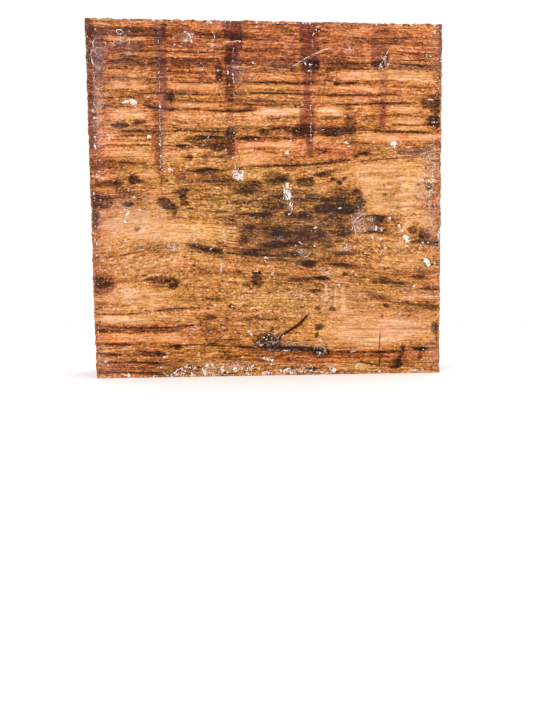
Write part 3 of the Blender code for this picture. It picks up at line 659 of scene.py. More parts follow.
# Paler and darker layers of growth with crisp borders: a path, a half height and an amount.
LAYERS = (
    # near the top arris
    (((32, 202.2), (100, 202)), 1.6, 0.05), (((34, 198.6), (60, 197.6), (84, 197.4)), 1.3, 0.13),
    (((-58, 197.8), (-24, 197.4)), 2.5, -0.11), (((-112, 197.6), (-54, 197.4)), 2.5, -0.24),
    (((-32, 197), (-6, 197.2)), 2.8, -0.12), (((44, 194), (72, 193.8), (84, 194.2)), 1.3, -0.15),
    (((-96, 193.4), (-62, 193.4)), 0.9, 0.16), (((-62, 193.2), (-30, 192.8)), 0.8, 0.06),
    (((-92, 190.4), (-40, 190.6)), 1, -0.08), (((-95, 189.6), (-62, 189.4)), 1.6, -0.05),
    (((62, 188.8), (100, 189.2)), 1.2, 0.05), (((-60, 188.6), (-40, 188.2), (-18, 187.2)), 0.5, 0.16),
    (((-95, 187), (-62, 186.9)), 0.8, -0.1), (((-92, 184.6), (-66, 184.8), (-24, 184.6)), 1.2, 0.15),
    (((-14, 184.6), (16, 184.4)), 0.8, 0.07), (((-92, 180), (-60, 180), (-24, 180.2)), 1.7, -0.11),
    (((72, 180.2), (102, 179.6)), 1.6, -0.13), (((31, 179.8), (60, 179.4)), 1.8, -0.13),
    (((-2, 179), (20, 179)), 1.6, -0.1), (((-60, 176.7), (-44, 176.8), (-30, 176.6)), 0.5, 0.2),
    # the golden bands
    (((-92, 174), (-62, 173.8)), 1.6, 0.09),
    (((38, 173.6), (60, 175.2), (80, 174.4), (102, 172.4)), 2.8, 0.17),
    (((-56, 173.2), (-40, 173.4)), 1.8, 0.09), (((-14, 172.6), (28, 172.8)), 1.8, 0.09),
    (((-94, 168.2), (-66, 168.2)), 2.2, 0.2), (((-14, 167.6), (32, 167.4)), 1.3, 0.17),
    (((-58, 167.6), (-26, 167)), 2.2, 0.19), (((34, 167.6), (76, 167)), 1.4, 0.1),
    (((-56, 165), (-26, 164.4)), 0.8, -0.08), (((-112, 163.6), (-66, 163.4)), 1.4, -0.06),
    (((-50, 161.8), (-28, 161.8)), 0.7, 0.14), (((0, 161.4), (90, 161.6)), 1.2, 0.07),
    (((-56, 157), (-26, 157.2)), 1.3, 0.24), (((70, 155.4), (92, 155.8)), 1.9, 0.13),
    (((51, 154.6), (65, 154.8)), 1.9, 0.16), (((26, 154.4), (48, 154.4)), 2.5, 0.34),
    (((-10, 153.8), (10, 154), (24, 154.4)), 2, 0.25), (((-93, 152), (-68, 151.8)), 3.2, 0.17),
    # above the tan patch
    (((-112, 147), (-68, 147)), 2, -0.05), (((72, 144.9), (98, 144.6)), 0.8, 0.2),
    (((52, 139.8), (112, 139.6)), 1.8, 0.16), (((-98, 135.8), (-67, 135.8)), 0.9, 0.14),
    (((76, 135), (112, 135.6)), 2, -0.08), (((-18, 134.8), (-2, 135.2), (20, 134.8)), 1.4, 0.2),
    (((-98, 130.4), (-67, 130.8)), 2.6, 0.17), (((22, 120), (34, 121.4), (44, 123)), 0.5, 0.22),
    # level with the black streak
    (((-88, 62.6), (-60, 62.8)), 1.2, 0.05),
    # the foot and the knot
    (((54, 49.4), (64, 46.4), (78, 42.8), (92, 40.4), (112, 38.6)), 1.5, -0.13),
    (((-24, 33), (0, 33.6), (12, 33.8)), 1.3, -0.1), (((-112, 29.2), (-92, 29), (-84, 28.9)), 1.6, -0.03),
    (((-112, 29.1), (-84, 28.8), (-62, 28.3), (-48, 28.8)), 1.5, -0.08),
    (((-50, 25), (-16, 24.6)), 2, 0.06), (((-98, 23.8), (-66, 23.6), (-50, 24.4)), 2.6, 0.14),
    (((-92, 17.6), (-60, 16.8)), 0.9, 0.08), (((-2, 13.6), (14, 13.4), (28, 12.6)), 1.3, -0.14),
    (((30, 12), (50, 11.4), (76, 10.6)), 1.8, -0.1), (((-70, 11), (-36, 10)), 0.8, 0.06),
    (((-76, 9), (-62, 9), (-50, 9.6)), 1.8, -0.07), (((50, 9.6), (60, 9.2), (74, 8.6)), 2, 0.06),
    (((36, 5.4), (52, 4.4), (66, 3.4)), 1.6, 0.16),
)

# Where the wood turns red, above 0, or olive, below 0.
REDS = (
    # near the top arris
    (-78, 197.4, 26, 3, 0.6), (0, 194, 118, 16, 0.85),
    # the golden bands
    (0, 171, 118, 9, 0.35), (24, 166, 6, 12, 0.5), (-40, 158, 20, 8, 0.3), (80, 155.5, 10, 3, 0.12),
    (23, 152, 4, 12, 0.5), (67.7, 151, 2.2, 8, 0.9), (-60, 150, 50, 24, 0.2), (60, 150, 50, 18, 0.26),
    # above the tan patch
    (45, 142, 10, 4, -0.15), (-64.8, 137, 1.5, 17, 0.9), (88, 137, 18, 8, 0.2), (10, 134, 30, 8, 0.55),
    (7, 133, 7, 8, -0.2), (46, 130, 12, 5, 0.6),
    # the stained middle
    (-96, 110, 10, 60, 0.45), (-20, 108, 30, 16, -0.5), (96, 108, 8, 18, 0.15), (94, 104, 8, 10, -0.25),
    (74, 100, 30, 20, -0.05), (81, 98, 9, 5, -0.32), (16, 90, 44, 24, -0.48),
    # level with the black streak
    (-46, 84, 30, 14, -0.25), (-95, 77, 8, 6, -0.3), (81, 76, 9, 5, -0.22), (72, 73.5, 18, 5, -0.12),
    (94, 67, 9, 5, -0.25), (95, 66, 8, 5, -0.15), (-75, 64, 18, 5, -0.12), (60, 56, 30, 8, -0.3),
    (94, 56, 12, 12, 0.3), (-96, 54.6, 8, 6, 0.25),
    # the foot and the knot
    (0, 46, 36, 10, -0.35), (-52, 44, 40, 10, -0.1), (28, 43, 32, 8, -0.2), (51, 36, 10, 4.4, -0.3),
    (-76, 29, 30, 2.4, 0.8), (-95, 25, 9, 4, 0.28), (-80, 24, 30, 7, 0.38), (60, 24, 46, 12, 0.2),
    (-50, 19, 30, 6, 0.2), (-20, 14, 30, 10, -0.2), (-14, 14, 20, 5, 0.3), (50, 10.6, 50, 3, 0.9),
    (-80, 7, 24, 8, 0.45),
)

# Bands that the saw and its wax have burnt purple: left, right, lowest, highest and depth.
BURNS = (
    (-64, -56.8, 160, 188, 0.62), (-99.9, -98.4, 128, 158, 0.5), (-103.4, -97.6, 129, 206, 0.62),
    (-103, -99, 64, 112, 0.25), (-99.4, -92.4, 168, 196, 0.75), (-60.6, -56.6, 190, 202, 0.85),
    (-62.2, -56.4, 189, 194, 0.6), (-64.4, -60.4, 118, 204, 0.4), (-66.4, -62.4, 118, 158, 0.42),
    (-62, -56.8, 142, 160, 0.38), (-62.8, -61.2, 96, 124, 0.7), (-25.6, -14, 194, 206, 1.15),
    (-21.4, -13.6, 187, 198, 0.95), (-24.6, -16, 170, 190, 1.1), (-30.2, -25.4, 169, 180, 0.9),
    (-18.6, -13.8, 172, 182, 0.5), (-24.8, -18.4, 158, 172, 1), (-24.6, -19.6, 144, 160, 0.4),
    (-24.2, -18.8, 126, 144, 1.05), (-15.6, -9, 197, 203, 0.35), (18, 30.6, 190, 204, 0.74),
    (19, 31, 174, 192, 0.7), (20, 29.4, 168, 178, 0.55), (20, 26.4, 154, 172, 0.6), (18, 28, 142, 157, 0.6),
    (22, 26.8, 126, 142, 0.75), (60, 72.4, 194, 204, 0.3), (59.8, 72.2, 177, 192, 0.6),
    (100.2, 103.6, 178, 206, 0.6), (64, 71.8, 158, 179, 0.36), (65.2, 70.2, 144, 160, 0.72),
    (65.8, 69.4, 132, 146, 0.12), (78, 78.9, 100, 124, 0.35), (-32.6, -31.6, 102, 122, 0.35),
    (27, 28.6, 100, 132, 0.35), (-0.8, 0.9, 96, 126, 0.45), (-15, -14.2, 92, 114, 0.25),
    (8.6, 9.4, 96, 116, 0.25),
)

# Oblongs with straight sides where the face is paler or darker: left, right, lowest, highest, amount.
OBLONGS = (
    (-63.2, -60.8, 112, 153, -0.18), (-99.8, -97.6, 130, 158, -0.12), (54.5, 92, 104, 117, 0.105),
    (-57.2, -52.6, 15.6, 20, -0.32), (58, 92, 95, 104, 0.105), (43, 92, 113.5, 121.5, 0.08),
    (78.4, 85.6, 84, 116, 0.06), (66, 78.4, 104, 118, -0.05), (32.8, 34.6, 44, 54.5, 0.26),
    (38.8, 40.4, 40, 52, 0.22), (43.1, 44.5, 36, 54, 0.3), (47, 48.8, 38, 52, 0.06),
    (-66.4, -62.6, 118, 158, -0.07),
)

# Milky wax left in a film on the wood.
FILMS = (
    # near the top arris
    (0, 203.4, 118, 1.6, 0.6), (-95, 199, 8, 4, 0.4), (-46, 195, 6, 5, 0.45), (-82, 192, 4, 3.4, 0.7),
    (13, 192, 4, 4, 0.5), (44, 190, 8, 5, 0.3), (-84, 188, 12, 8, 0.45), (99, 187, 5, 14, 0.35),
    (-95.6, 182, 4.6, 15, 1.2), (8, 180, 12, 5, 0.15), (81, 178, 10, 4, 0.3), (-17, 176, 5, 7, 0.5),
    # the golden bands
    (-84, 170, 10, 5, 0.6), (-61, 160, 4, 40, 0.35), (-97.4, 150, 3.4, 26, 1), (-88, 150, 8, 14, 0.3),
    # above the tan patch
    (88, 131, 11, 3, 0.5), (97, 126, 7, 10, 0.9),
    # the stained middle
    (94, 108, 8, 8, 0.8), (74, 106, 22, 12, 0.25), (66, 98, 9, 5, 0.3), (81, 98, 9, 5, 0.55),
    (-80, 93, 24, 11, 0.85), (99, 92, 6, 10, 1.2), (20, 88, 40, 22, 0.18), (54, 88, 6, 8, 0.4),
    # level with the black streak
    (-8, 84, 12, 12, 0.22), (-68, 82, 26, 9, 0.4), (-99, 80, 4, 18, 0.5), (-95, 77, 8, 6, 0.4),
    (81, 76, 10, 5, 0.35), (-58, 74, 5, 5, 0.4), (98, 72, 6, 14, 0.5), (94, 67, 9, 5, 0.4),
    (-75, 64, 17, 5, 0.3),
    # the foot and the knot
    (-92, 48, 10, 6, 0.45), (90, 47, 12, 3, 0.5), (14, 46, 8, 7, 0.3), (48, 46, 12, 10, 0.4),
    (34, 45, 4, 8, 0.6), (-88, 34, 16, 4, 0.4), (80, 28, 20, 8, 0.35), (12, 19, 8, 3, 0.35),
    (-100, 14, 5, 10, 0.8), (99, 12, 4, 10, 0.5), (-92, 8, 8, 8, 0.4), (-40, 4, 18, 5, 0.15),
    (2, 4, 20, 4, 0.15),
)

# Pale scratches and rubbed marks: path, half width and depth.
SCUFFS = (
    (((-20, 195.2), (-13, 195)), 0.1, 0.5), (((-43, 193.8), (-39, 192.6), (-34, 192.4)), 0.08, 0.55),
    (((-44, 192.2), (-36, 191.4), (-30, 191.2), (-24, 192.2), (-15, 193.2)), 0.1, 0.75),
    (((-36, 190.2), (-30, 190.2), (-22, 191.6)), 0.08, 0.6),
    (((-50, 189.6), (-42, 190.4), (-36, 190)), 0.1, 0.7), (((-30.4, 199), (-29.8, 180)), 0.4, 0.6),
    (((-66, 196), (-66, 180)), 0.3, 0.4),
    (((7, 176.4), (14, 178.8), (20, 182), (26, 185.6), (32, 188.6), (38, 190.8), (43, 192.2)), 0.16, 0.95),
    (((12, 176.8), (18, 179.4), (23, 182.4), (29, 186.2), (34, 188.8)), 0.12, 0.75),
    (((5, 175.4), (12, 176.8), (17, 178.6)), 0.1, 0.55), (((-25, 182), (-25, 170)), 0.3, 0.6),
    (((-38, 184), (-37, 166)), 0.3, 0.45), (((26, 141), (30, 142.8), (34, 144)), 0.2, 0.8),
    (((-90, 94), (-80, 97), (-74, 96)), 0.3, 0.5), (((14, 88.8), (24, 89.4)), 0.2, 0.6),
    (((-92, 84.6), (-86, 85.4)), 0.4, 0.7), (((71, 80), (78, 79.4)), 0.3, 0.6),
    (((-79, 73.6), (-71, 75.6)), 0.4, 0.9), (((-64, 68.4), (-57, 70)), 0.4, 0.9),
    (((76, 66), (88, 67)), 0.5, 0.5), (((-28.4, 69), (-28.6, 61)), 0.6, 0.8),
    (((88, 45.5), (96, 46), (112, 45.7)), 0.4, 0.9), (((6, 17.4), (12, 18.6)), 0.3, 0.5),
)

# Oily wood, where the wax has soaked in and the colour is deeper.
OILED = (
    (-50, 88, 16, 5, 0.6), (66, 56, 12, 5, 0.4), (20, 26, 12, 6, 0.8), (-96, 25, 10, 5, 0.9),
    (-34, 15, 22, 6, 0.8), (-96, 14, 8, 5, 0.7), (-8, 14, 16, 7, 0.9), (-62, 13, 20, 6, 0.5),
    (54, 10, 22, 3.6, 0.8), (-7, 5, 13, 4, 0.8),
)

# Lace of dried wax skin, torn into a net.
LACES = (
    # near the top arris
    (-34, 203, 3, 1.6, 0.7), (-46, 194, 4, 4, 0.8), (-82, 190, 6, 6, 0.5), (46, 190, 6, 3, 0.6),
    (68, 183, 4, 6, 0.25), (-96, 182, 4, 16, 0.15), (-16, 175, 4, 5, 0.55),
    # the golden bands
    (-96, 150, 3, 20, 0.6),
    # above the tan patch
    (-22, 141, 2.6, 4, 0.7), (96, 124, 5, 8, 0.7),
    # the stained middle
    (12, 104, 3, 8, 0.8), (95, 104, 7, 8, 0.6), (-98, 92, 3, 7, 0.45), (52.6, 90, 4.2, 7.4, 0.6, 14),
    (63, 88, 5, 4, 0.35),
    # level with the black streak
    (-27, 81, 3, 3, 0.8), (101, 78, 3, 5, 0.9), (-56, 76, 4, 3, 0.6), (46, 76, 4, 3, 0.5),
    (20, 74, 5, 4, 0.5), (36, 62, 5, 2, 0.6),
    # the foot and the knot
    (14, 47, 4, 4, 0.4), (-47, 28, 4, 1.8, 0.8), (100, 27, 4, 4, 0.35), (0, 21, 8, 8, 0.5),
    (14, 18.6, 10, 1.6, 0.42), (30, 16, 4, 5, 0.8), (50, 14, 4, 1.4, 0.6), (-30, 4, 34, 4.6, 0.45),
    (37, 4, 4, 4, 0.7), (14, 3, 14, 3, 0.45),
)

# Where crumbs of wax lie thick.
CRUMB_PATCHES = (
    # near the top arris
    (-80, 190, 26, 16, 0.1), (68, 184, 5, 10, 0.25), (-97, 180, 7, 20, 0.22), (100, 180, 5, 24, 0.16),
    # the golden bands
    (-24, 174, 7, 9, 0.2), (25, 170, 4, 36, 0.12), (-20, 168, 3, 40, 0.12), (-62, 160, 3, 44, 0.12),
    # above the tan patch
    (-96, 130, 5, 50, 0.12), (96, 116, 9, 18, 0.22),
    # the stained middle
    (12, 104, 7, 12, 0.18), (0, 100, 180, 180, 0.05), (-84, 92, 12, 16, 0.1), (54, 90, 9, 10, 0.16),
    # level with the black streak
    (46, 77, 6, 7, 0.14), (20, 75, 8, 7, 0.14),
    # the foot and the knot
    (38, 45, 9, 12, 0.12), (-98, 40, 6, 44, 0.16), (96, 40, 10, 40, 0.1), (-2, 21, 8, 9, 0.12),
    (20, 16, 16, 4, 0.16), (-96, 8, 9, 9, 0.22), (-30, 4, 34, 6, 0.26), (20, 3, 40, 5, 0.22),
)

# Dense growth lines at the top and bottom of the face, where it cuts across them, and few between.
RINGS = (
    (0, 190, 130, 26, 1), (0, 156, 118, 18, 0.5), (0, 8, 118, 16, 0.8), (-70, 28, 40, 14, 0.5),
    (70, 60, 34, 7, 0.5), (0, 68, 50, 6, 0.5),
)

# The growth lines, the stains and the films of each side. Across and up are x and z on the front and the
# back, y and z on the ends, x and y on the top and the foot.
SIDES = {
    "front": (GROWTH_LINES, STAINS, FILMS),
    "back": (
        (
            (((-14, 150), (2, 128), (20, 96), (30, 70), (34, 40)), 3.0, 1.0),
            (((-6, 152), (12, 126), (26, 100)), 1.6, 0.8),
            (((-96, 150), (-70, 141), (-46, 146), (-20, 138), (10, 146), (44, 140)), 0.9, 0.7),
            (((-100, 118), (-60, 112), (-24, 116), (16, 108), (60, 112), (100, 104)), 0.8, 0.6),
            (((-100, 88), (-50, 80), (0, 86), (50, 76), (100, 80)), 0.7, 0.5),
            (((-90, 52), (-40, 46), (10, 52), (60, 44), (98, 50)), 0.8, 0.6),
            (((-98, 24), (-50, 20), (0, 26), (50, 18), (98, 22)), 0.7, 0.5),
        ),
        (
            (-60, 100, 16, 9, 0.7, 10),
            (64, 88, 20, 7, 0.6, -8),
            (10, 60, 12, 14, 0.7, 30),
            (-30, 28, 22, 5, 0.6),
        ),
        ((-84, 60, 8, 26, 0.6), (90, 130, 6, 30, 0.5), (0, 8, 80, 5, 0.4)),
    ),
    "right": (
        (
            (((-30, 200), (-32, 150), (-28, 100), (-30, 20)), 0.6, 0.5),
            (((4, 198), (2, 140), (6, 70), (2, 6)), 0.6, 0.6),
            (((18, 190), (20, 130), (17, 60)), 0.5, 0.5),
            (((-14, 180), (-12, 120), (-16, 50)), 0.5, 0.5),
        ),
        ((20, 60, 8, 20, 0.5), (-18, 30, 8, 14, 0.5)),
        ((0, 196, 30, 8, 0.7), (-34, 100, 3, 80, 0.6)),
    ),
    "left": (
        (
            (((8, 204), (0, 168), (6, 120), (-6, 76), (2, 30), (-4, 0)), 3.4, 0.95),
            (((-26, 190), (-20, 140), (-24, 80)), 0.7, 0.5),
            (((24, 176), (30, 120), (26, 60)), 0.8, 0.6),
        ),
        ((12, 100, 10, 30, 0.6), (-16, 40, 8, 16, 0.5)),
        ((34, 60, 4, 50, 0.6), (0, 6, 30, 5, 0.5)),
    ),
    "top": (
        (
            (((-100, -18), (-50, -21), (0, -17), (50, -20), (100, -18)), 1.0, 0.7),
            (((-100, 2), (-40, 6), (20, 1), (100, 5)), 1.2, 0.8),
            (((-90, 20), (-20, 24), (40, 20), (98, 25)), 0.8, 0.6),
        ),
        ((-60, 10, 14, 5, 0.6), (30, -8, 18, 4, 0.55), (80, 16, 10, 6, 0.6)),
        ((-94, 0, 7, 30, 0.6), (92, 0, 8, 30, 0.5)),
    ),
    "foot": (
        (
            (((-100, -22), (-30, -20), (40, -24), (100, -21)), 1.0, 0.7),
            (((-98, 8), (-10, 4), (60, 9), (100, 6)), 1.0, 0.7),
        ),
        ((0, 0, 30, 8, 0.5),),
        ((0, 30, 80, 6, 0.4),),
    ),
}

LINE_REACH = 1.15
HALO_REACH = 3.4
HALO_DEPTH = 0.10


def streaks(u, v, marks):
    """How strongly each place is marked by narrow tapered streaks, and by the halo beside them."""
    cover = np.zeros(len(u))
    halo = np.zeros(len(u))
    for path, half, depth in marks:
        gap, share = to_path(u, v, path)
        taper = np.sqrt(np.clip(5 * np.minimum(share, 1 - share), 0, 1))
        reach = (0.32 + 0.85 * half) * (0.5 + 0.5 * taper)
        cover = np.maximum(cover, depth * taper * np.clip(LINE_REACH - gap / reach, 0, 1))
        halo = np.maximum(halo, depth * taper * ramp(gap / half, HALO_REACH, 0.3))
    return cover, halo


POOL_RIM = 1.7
POOL_CORE = 0.1


def pools(u, v, marks, gather=np.maximum):
    """Soft-edged ovals, gathered by their greatest or by their sum."""
    total = np.zeros(len(u))
    for middle_u, middle_v, half_length, half_height, amount, *lean in marks:
        turn = math.radians(sum(lean))
        across, up = u - middle_u, v - middle_v
        along = (across * math.cos(turn) + up * math.sin(turn)) / half_length
        over = (up * math.cos(turn) - across * math.sin(turn)) / half_height
        total = gather(total, amount * ramp(np.hypot(along, over), POOL_RIM, POOL_CORE))
    return total


LAYER_EDGE = 0.6
LAYER_FADE = 8.0


def layered(u, v, marks):
    """The sum of long bands with crisp borders that fade out at their ends."""
    total = np.zeros(len(u))
    for path, half, amount in marks:
        gap, share = to_path(u, v, path)
        ends = ramp(np.minimum(share, 1 - share) * sum(runs_of(path)), 0.0, LAYER_FADE)
        total += amount * ends * ramp(gap, half + LAYER_EDGE, half - LAYER_EDGE)
    return total


def oblongs(u, v, marks):
    """The sum of upright oblongs with crisp sides and softer ends."""
    total = np.zeros(len(u))
    for left, right, lowest, highest, amount in marks:
        across = ramp(np.minimum(u - left, right - u), -0.7, 0.9)
        total += amount * across * ramp(np.minimum(v - lowest, highest - v), -0.8, 1.4)
    return total


BAND_SOFTNESS = 2.4


def bands(u, v, marks):
    """Upright bands, 0.5 at their sides, that fade out at their lower end."""
    total = np.zeros(len(u))
    for left, right, lowest, highest, depth in marks:
        inside = np.clip(0.5 + np.minimum(u - left, right - u) / BAND_SOFTNESS, 0, 1)
        ends = ramp(v, lowest - 4, lowest + 5) * ramp(v, highest + 4, highest - 1)
        total = np.maximum(total, inside * ends * (0.4 + 0.6 * depth))
    return total


def write_field(mesh, name, values, kind="FLOAT"):
    """Stores one number or one vector for each vertex."""
    field = mesh.attributes.new(name, kind, "POINT")
    part = "vector" if kind == "FLOAT_VECTOR" else "value"
    field.data.foreach_set(part, np.asarray(values, np.float32).ravel())


# The tree's pith runs along X behind the block; growth rings are round it.
PITH_BEHIND = 73.0
PITH_HEIGHT = 90.0
# Where the grain swells up or down on the broad face: its height, the half height of the swelling, how far
# it goes, and how much of it there is across the face.
SWELLINGS = (
    (124, 22, 6, lambda u: ramp(u, 0, 90)),
    (58, 22, -7, lambda u: ramp(u, 0, 90)),
    (74, 18, 7, lambda u: np.exp(-(((u + 52) / 34) ** 2))),
)


def grain_lift(mm):
    """How far the grain lines are pushed up at each place, by the swellings and by slow waves."""
    u, v = mm[:, 0], mm[:, 2]
    lift = 1.4 * drift(mm, 46.0, 20) + 0.35 * drift(mm * (0.4, 1, 1), 9.0, 21)
    for middle, half, height, share in SWELLINGS:
        lift += height * share(u) * np.exp(-(((v - middle) / half) ** 2))
    return lift


def fibre_places(mm):
    """Each place as the fibres know it: along the grain, out from the pith, and round the pith."""
    behind = PITH_BEHIND - mm[:, 1]
    above = mm[:, 2] - grain_lift(mm) - PITH_HEIGHT
    turned = np.arctan2(above, behind) * (PITH_BEHIND + HALF_THICKNESS)
    return np.stack((mm[:, 0], np.hypot(behind, above), turned), axis=1) * MM


# Lumps of pale sapwood left in the dark heart: middle and half sizes in mm.
SAPWOOD = (
    ((-84, 44, 182), (40, 30, 34)),
    ((66, 44, 200), (48, 26, 22)),
    ((30, 46, 196), (30, 16, 10)),
    ((98, 30, 12), (26, 26, 20)),
)
HEART_DEPTH = 17.0
HEART_BLEND = 9.0
# Where the violet sheen painted on the end wax lies: not on a diagonal band across the right end, and this
# thick on the left end.
BARE_DIAGONAL = ((-40, 128), (-8, 108), (16, 72), (40, 52))
LEFT_PAINTED_SHEEN = 0.6


def sides_of(mm):
    """Which places are on each side, and their own across and up."""
    x, y, z = mm.T
    return {
        "front": (y < FRONT_BAND - HALF_THICKNESS, x, z),
        "back": (y > HALF_THICKNESS - SIDE_BAND, x, z),
        "right": (x > HALF_WIDTH - SIDE_BAND, y, z),
        "left": (x < SIDE_BAND - HALF_WIDTH, y, z),
        "top": (z > FULL_HEIGHT - SIDE_BAND, x, y),
        "foot": (z < SIDE_BAND, x, y),
    }


def heart_share(mm):
    """0.5 at the ragged border of the dark heartwood, 1 well inside it and 0 in the sapwood."""
    flat = mm * (1, 0, 1)
    border = HEART_DEPTH + 9 * drift(flat, 40, 40) + 5 * drift(flat, 15, 41) + 2.4 * drift(mm, 5.5, 42)
    gap = mm[:, 1] + HALF_THICKNESS - border
    bay = 5 * drift(mm, 17, 43) + 3.0 * drift(mm, 6.5, 44) + 1.2 * drift(mm, 2.8, 53)
    for middle, half in SAPWOOD:
        out = np.linalg.norm((mm - middle) / np.array(half), axis=1) - 1
        gap = np.minimum(gap, out * min(half) + bay)
    return np.clip(0.5 + gap / HEART_BLEND, 0, 1)


def painted_sheen_share(mm):
    """How thick the violet sheen painted on the end wax is: on the right end, but for a band across it."""
    right_end = ramp(mm[:, 0], HALF_WIDTH - 2.5, HALF_WIDTH - 0.5)
    left_end = ramp(mm[:, 0], 2.5 - HALF_WIDTH, 0.5 - HALF_WIDTH) * ramp(drift(mm, 34, 48), -0.1, 0.9)
    diagonal = to_path(mm[:, 1], mm[:, 2], BARE_DIAGONAL)[0]
    covered = ramp(diagonal + 4 * drift(mm, 16, 46) + 1.6 * drift(mm, 5, 47), 4, 15)
    patchy = 0.72 + 0.5 * drift(mm * (1, 1, 0.35), 24, 45)
    return np.clip(right_end * covered * patchy + LEFT_PAINTED_SHEEN * left_end, 0, 1)


def wood_fields(mesh):
    """Lays every marking on the mesh. The fibres' own sway bends them first, so that none is ruled."""
    mm = vertices_mm(mesh)
    shake = mm * (0.35, 1, 1)
    sway_across = 0.9 * drift(shake, 5.0, 30)
    sway_up = 0.14 * drift(shake, 4.2, 31) + 0.30 * drift(shake, 13.0, 32)
    ragged_up = sway_up + 0.50 * drift(shake, 3.0, 33) + 0.40 * drift(mm, 1.7, 36)
    ragged_across = sway_across + 1.0 * drift(mm, 4.0, 34) + 0.6 * drift(mm, 2.2, 35)
    line, halo, stain, film = np.zeros((4, len(mm)))
    for side, (on_side, u, v) in sides_of(mm).items():
        lines, stains, films = SIDES[side]
        chosen = np.flatnonzero(on_side)
        across, up = u[chosen] + sway_across[chosen], v[chosen] + sway_up[chosen]
        line[chosen], halo[chosen] = streaks(across, up, lines)
        stain[chosen] = pools(u[chosen] + ragged_across[chosen], v[chosen] + ragged_up[chosen], stains)
        film[chosen] = pools(across, up, films)
    front, u, v = sides_of(mm)["front"]
    across, up = u + sway_across, v + sway_up
    tone = pools(u, v, TONES, np.add) + layered(across, up, LAYERS) + oblongs(u, v, OBLONGS)
    arris = ramp(arris_gap(mm), 1.6, 0.1)
    near_arris = ramp(arris_gap(mm), 8.0, 0.5)
    patchy = ramp(drift(mm, 9.0, 50) + 0.6 * drift(mm, 3.0, 51), -0.5, 0.9)
    crumbed = np.where(front, pools(u, v, CRUMB_PATCHES), 0.05)
    side_lace = 0.7 * ramp(drift(mm, 20.0, 54) + 0.5 * drift(mm, 6.0, 55), 0.35, 0.9)
    fields = {
        "line": line,
        "stain": stain,
        "film": film,
        "tone": front * tone - HALO_DEPTH * halo,
        "red": np.where(front, pools(u, v, REDS, np.add), 0.5),
        "burn": front * bands(u, v + sway_up, BURNS),
        "scuff": front * streaks(across, up, SCUFFS)[0],
        "ink": front * pools(across, up, INK_SPOTS),
        "oil": front * pools(across, up, OILED),
        "lace": np.where(front, pools(across, up, LACES), side_lace),
        "rings": np.where(front, pools(u, v, RINGS), 0.8),
        "heart": heart_share(mm),
        # how thick the violet sheen painted on the end wax is
        "bloom": painted_sheen_share(mm),
        "fuzz": arris * (0.25 + 0.75 * patchy),
        "crumbs": (0.85 * arris + 0.10 * near_arris + crumbed) * patchy,
    }
    write_field(mesh, "fibre", fibre_places(mm), "FLOAT_VECTOR")
    for name, values in fields.items():
        write_field(mesh, name, values)


wood_fields(block.data)

# Chechen as the photograph shows it: gold to red brown, figured with black, under thin old wax.
SHADES = (
    (0.00, (0.026, 0.010, 0.004)),
    (0.12, (0.058, 0.021, 0.007)),
    (0.25, (0.140, 0.049, 0.014)),
    (0.38, (0.260, 0.092, 0.024)),
    (0.50, (0.405, 0.160, 0.042)),
    (0.62, (0.565, 0.240, 0.066)),
    (0.75, (0.695, 0.339, 0.142)),
    (0.88, (0.805, 0.450, 0.246)),
    (1.00, (0.900, 0.600, 0.420)),
)
HEART_SHADES = (
    (0.00, (0.012, 0.005, 0.004)),
    (0.25, (0.040, 0.014, 0.010)),
    (0.45, (0.095, 0.032, 0.020)),
    (0.62, (0.170, 0.058, 0.033)),
    (0.80, (0.270, 0.098, 0.052)),
    (1.00, (0.420, 0.180, 0.100)),
)
GROUND_SHADE = 0.552
RED_TINT = (1.05, 0.79, 0.84, 1.0)
OLIVE_TINT = (0.93, 1.08, 0.92, 1.0)
CHALK_TINT = (0.99, 1.01, 1.50, 1.0)
OIL_TINT = (1.02, 0.97, 0.66, 1.0)
BURN_TINT = (0.52, 0.40, 0.58, 1.0)
INK_COLOUR = (0.026, 0.024, 0.032, 1.0)
FILM_COLOUR = (0.36, 0.20, 0.19, 1.0)
PALE_FILM_COLOUR = (0.80, 0.50, 0.38, 1.0)
LACE_COLOUR = (0.76, 0.53, 0.43, 1.0)
# The violet below is a painted sheen: the bluish light that the end wax reflects, put into its colour.
PAINTED_SHEEN_COLOUR = (0.120, 0.078, 0.112, 1.0)
SCUFF_COLOUR = (0.84, 0.66, 0.52, 1.0)

# The noises of the grain. Each has its repeats in a metre along the grain, out from the pith and round it,
# its detail, its roughness and its seed. Those of the first list sway as the fibres do.
SWAYED_GRAIN = {
    "strands": ((36, 1100, 1100), 6, 0.68, 0),
    "dashes": ((120, 900, 900), 3, 0.6, 4.9),
    "threads": ((260, 2600, 2600), 2, 0.6, 3.1),
    "growth": ((4, 560, 24), 3, 0.55, 5.7),
    "belts": ((6, 190, 26), 3, 0.55, 9.2),
    "contours": ((9, 210, 150), 2, 0.5, 8.4),
    "veins": ((16, 480, 480), 3, 0.6, 6.2),
    "pores": ((580, 1500, 1500), 1, 0.5, 11.3),
    "flecks": ((620, 1300, 1300), 1, 0.5, 13.9),
    "breaks": ((75, 300, 300), 3, 0.6, 18.2),
}
STILL_GRAIN = {
    "specks": ((950, 1150, 1150), 2, 0.6, 29.3),
    "crumble": ((560, 760, 760), 4, 0.78, 7.7),
    "mottle": ((120, 260, 260), 6, 0.72, 1.3),
    "clouds": ((40, 95, 95), 3, 0.6, 4.4),
    "broad_hue": ((26, 150, 150), 3, 0.65, 23),
    "fine_hue": ((170, 620, 620), 3, 0.75, 24.7),
    "broad_chalk": ((60, 240, 240), 3, 0.65, 25.3),
    "fine_chalk": ((330, 760, 760), 3, 0.75, 26.9),
    "dust": ((900, 1150, 1150), 1, 0.5, 27),
}
SHORT_SWAY = ((150, 120, 120), 1, 0.5, 15.1)
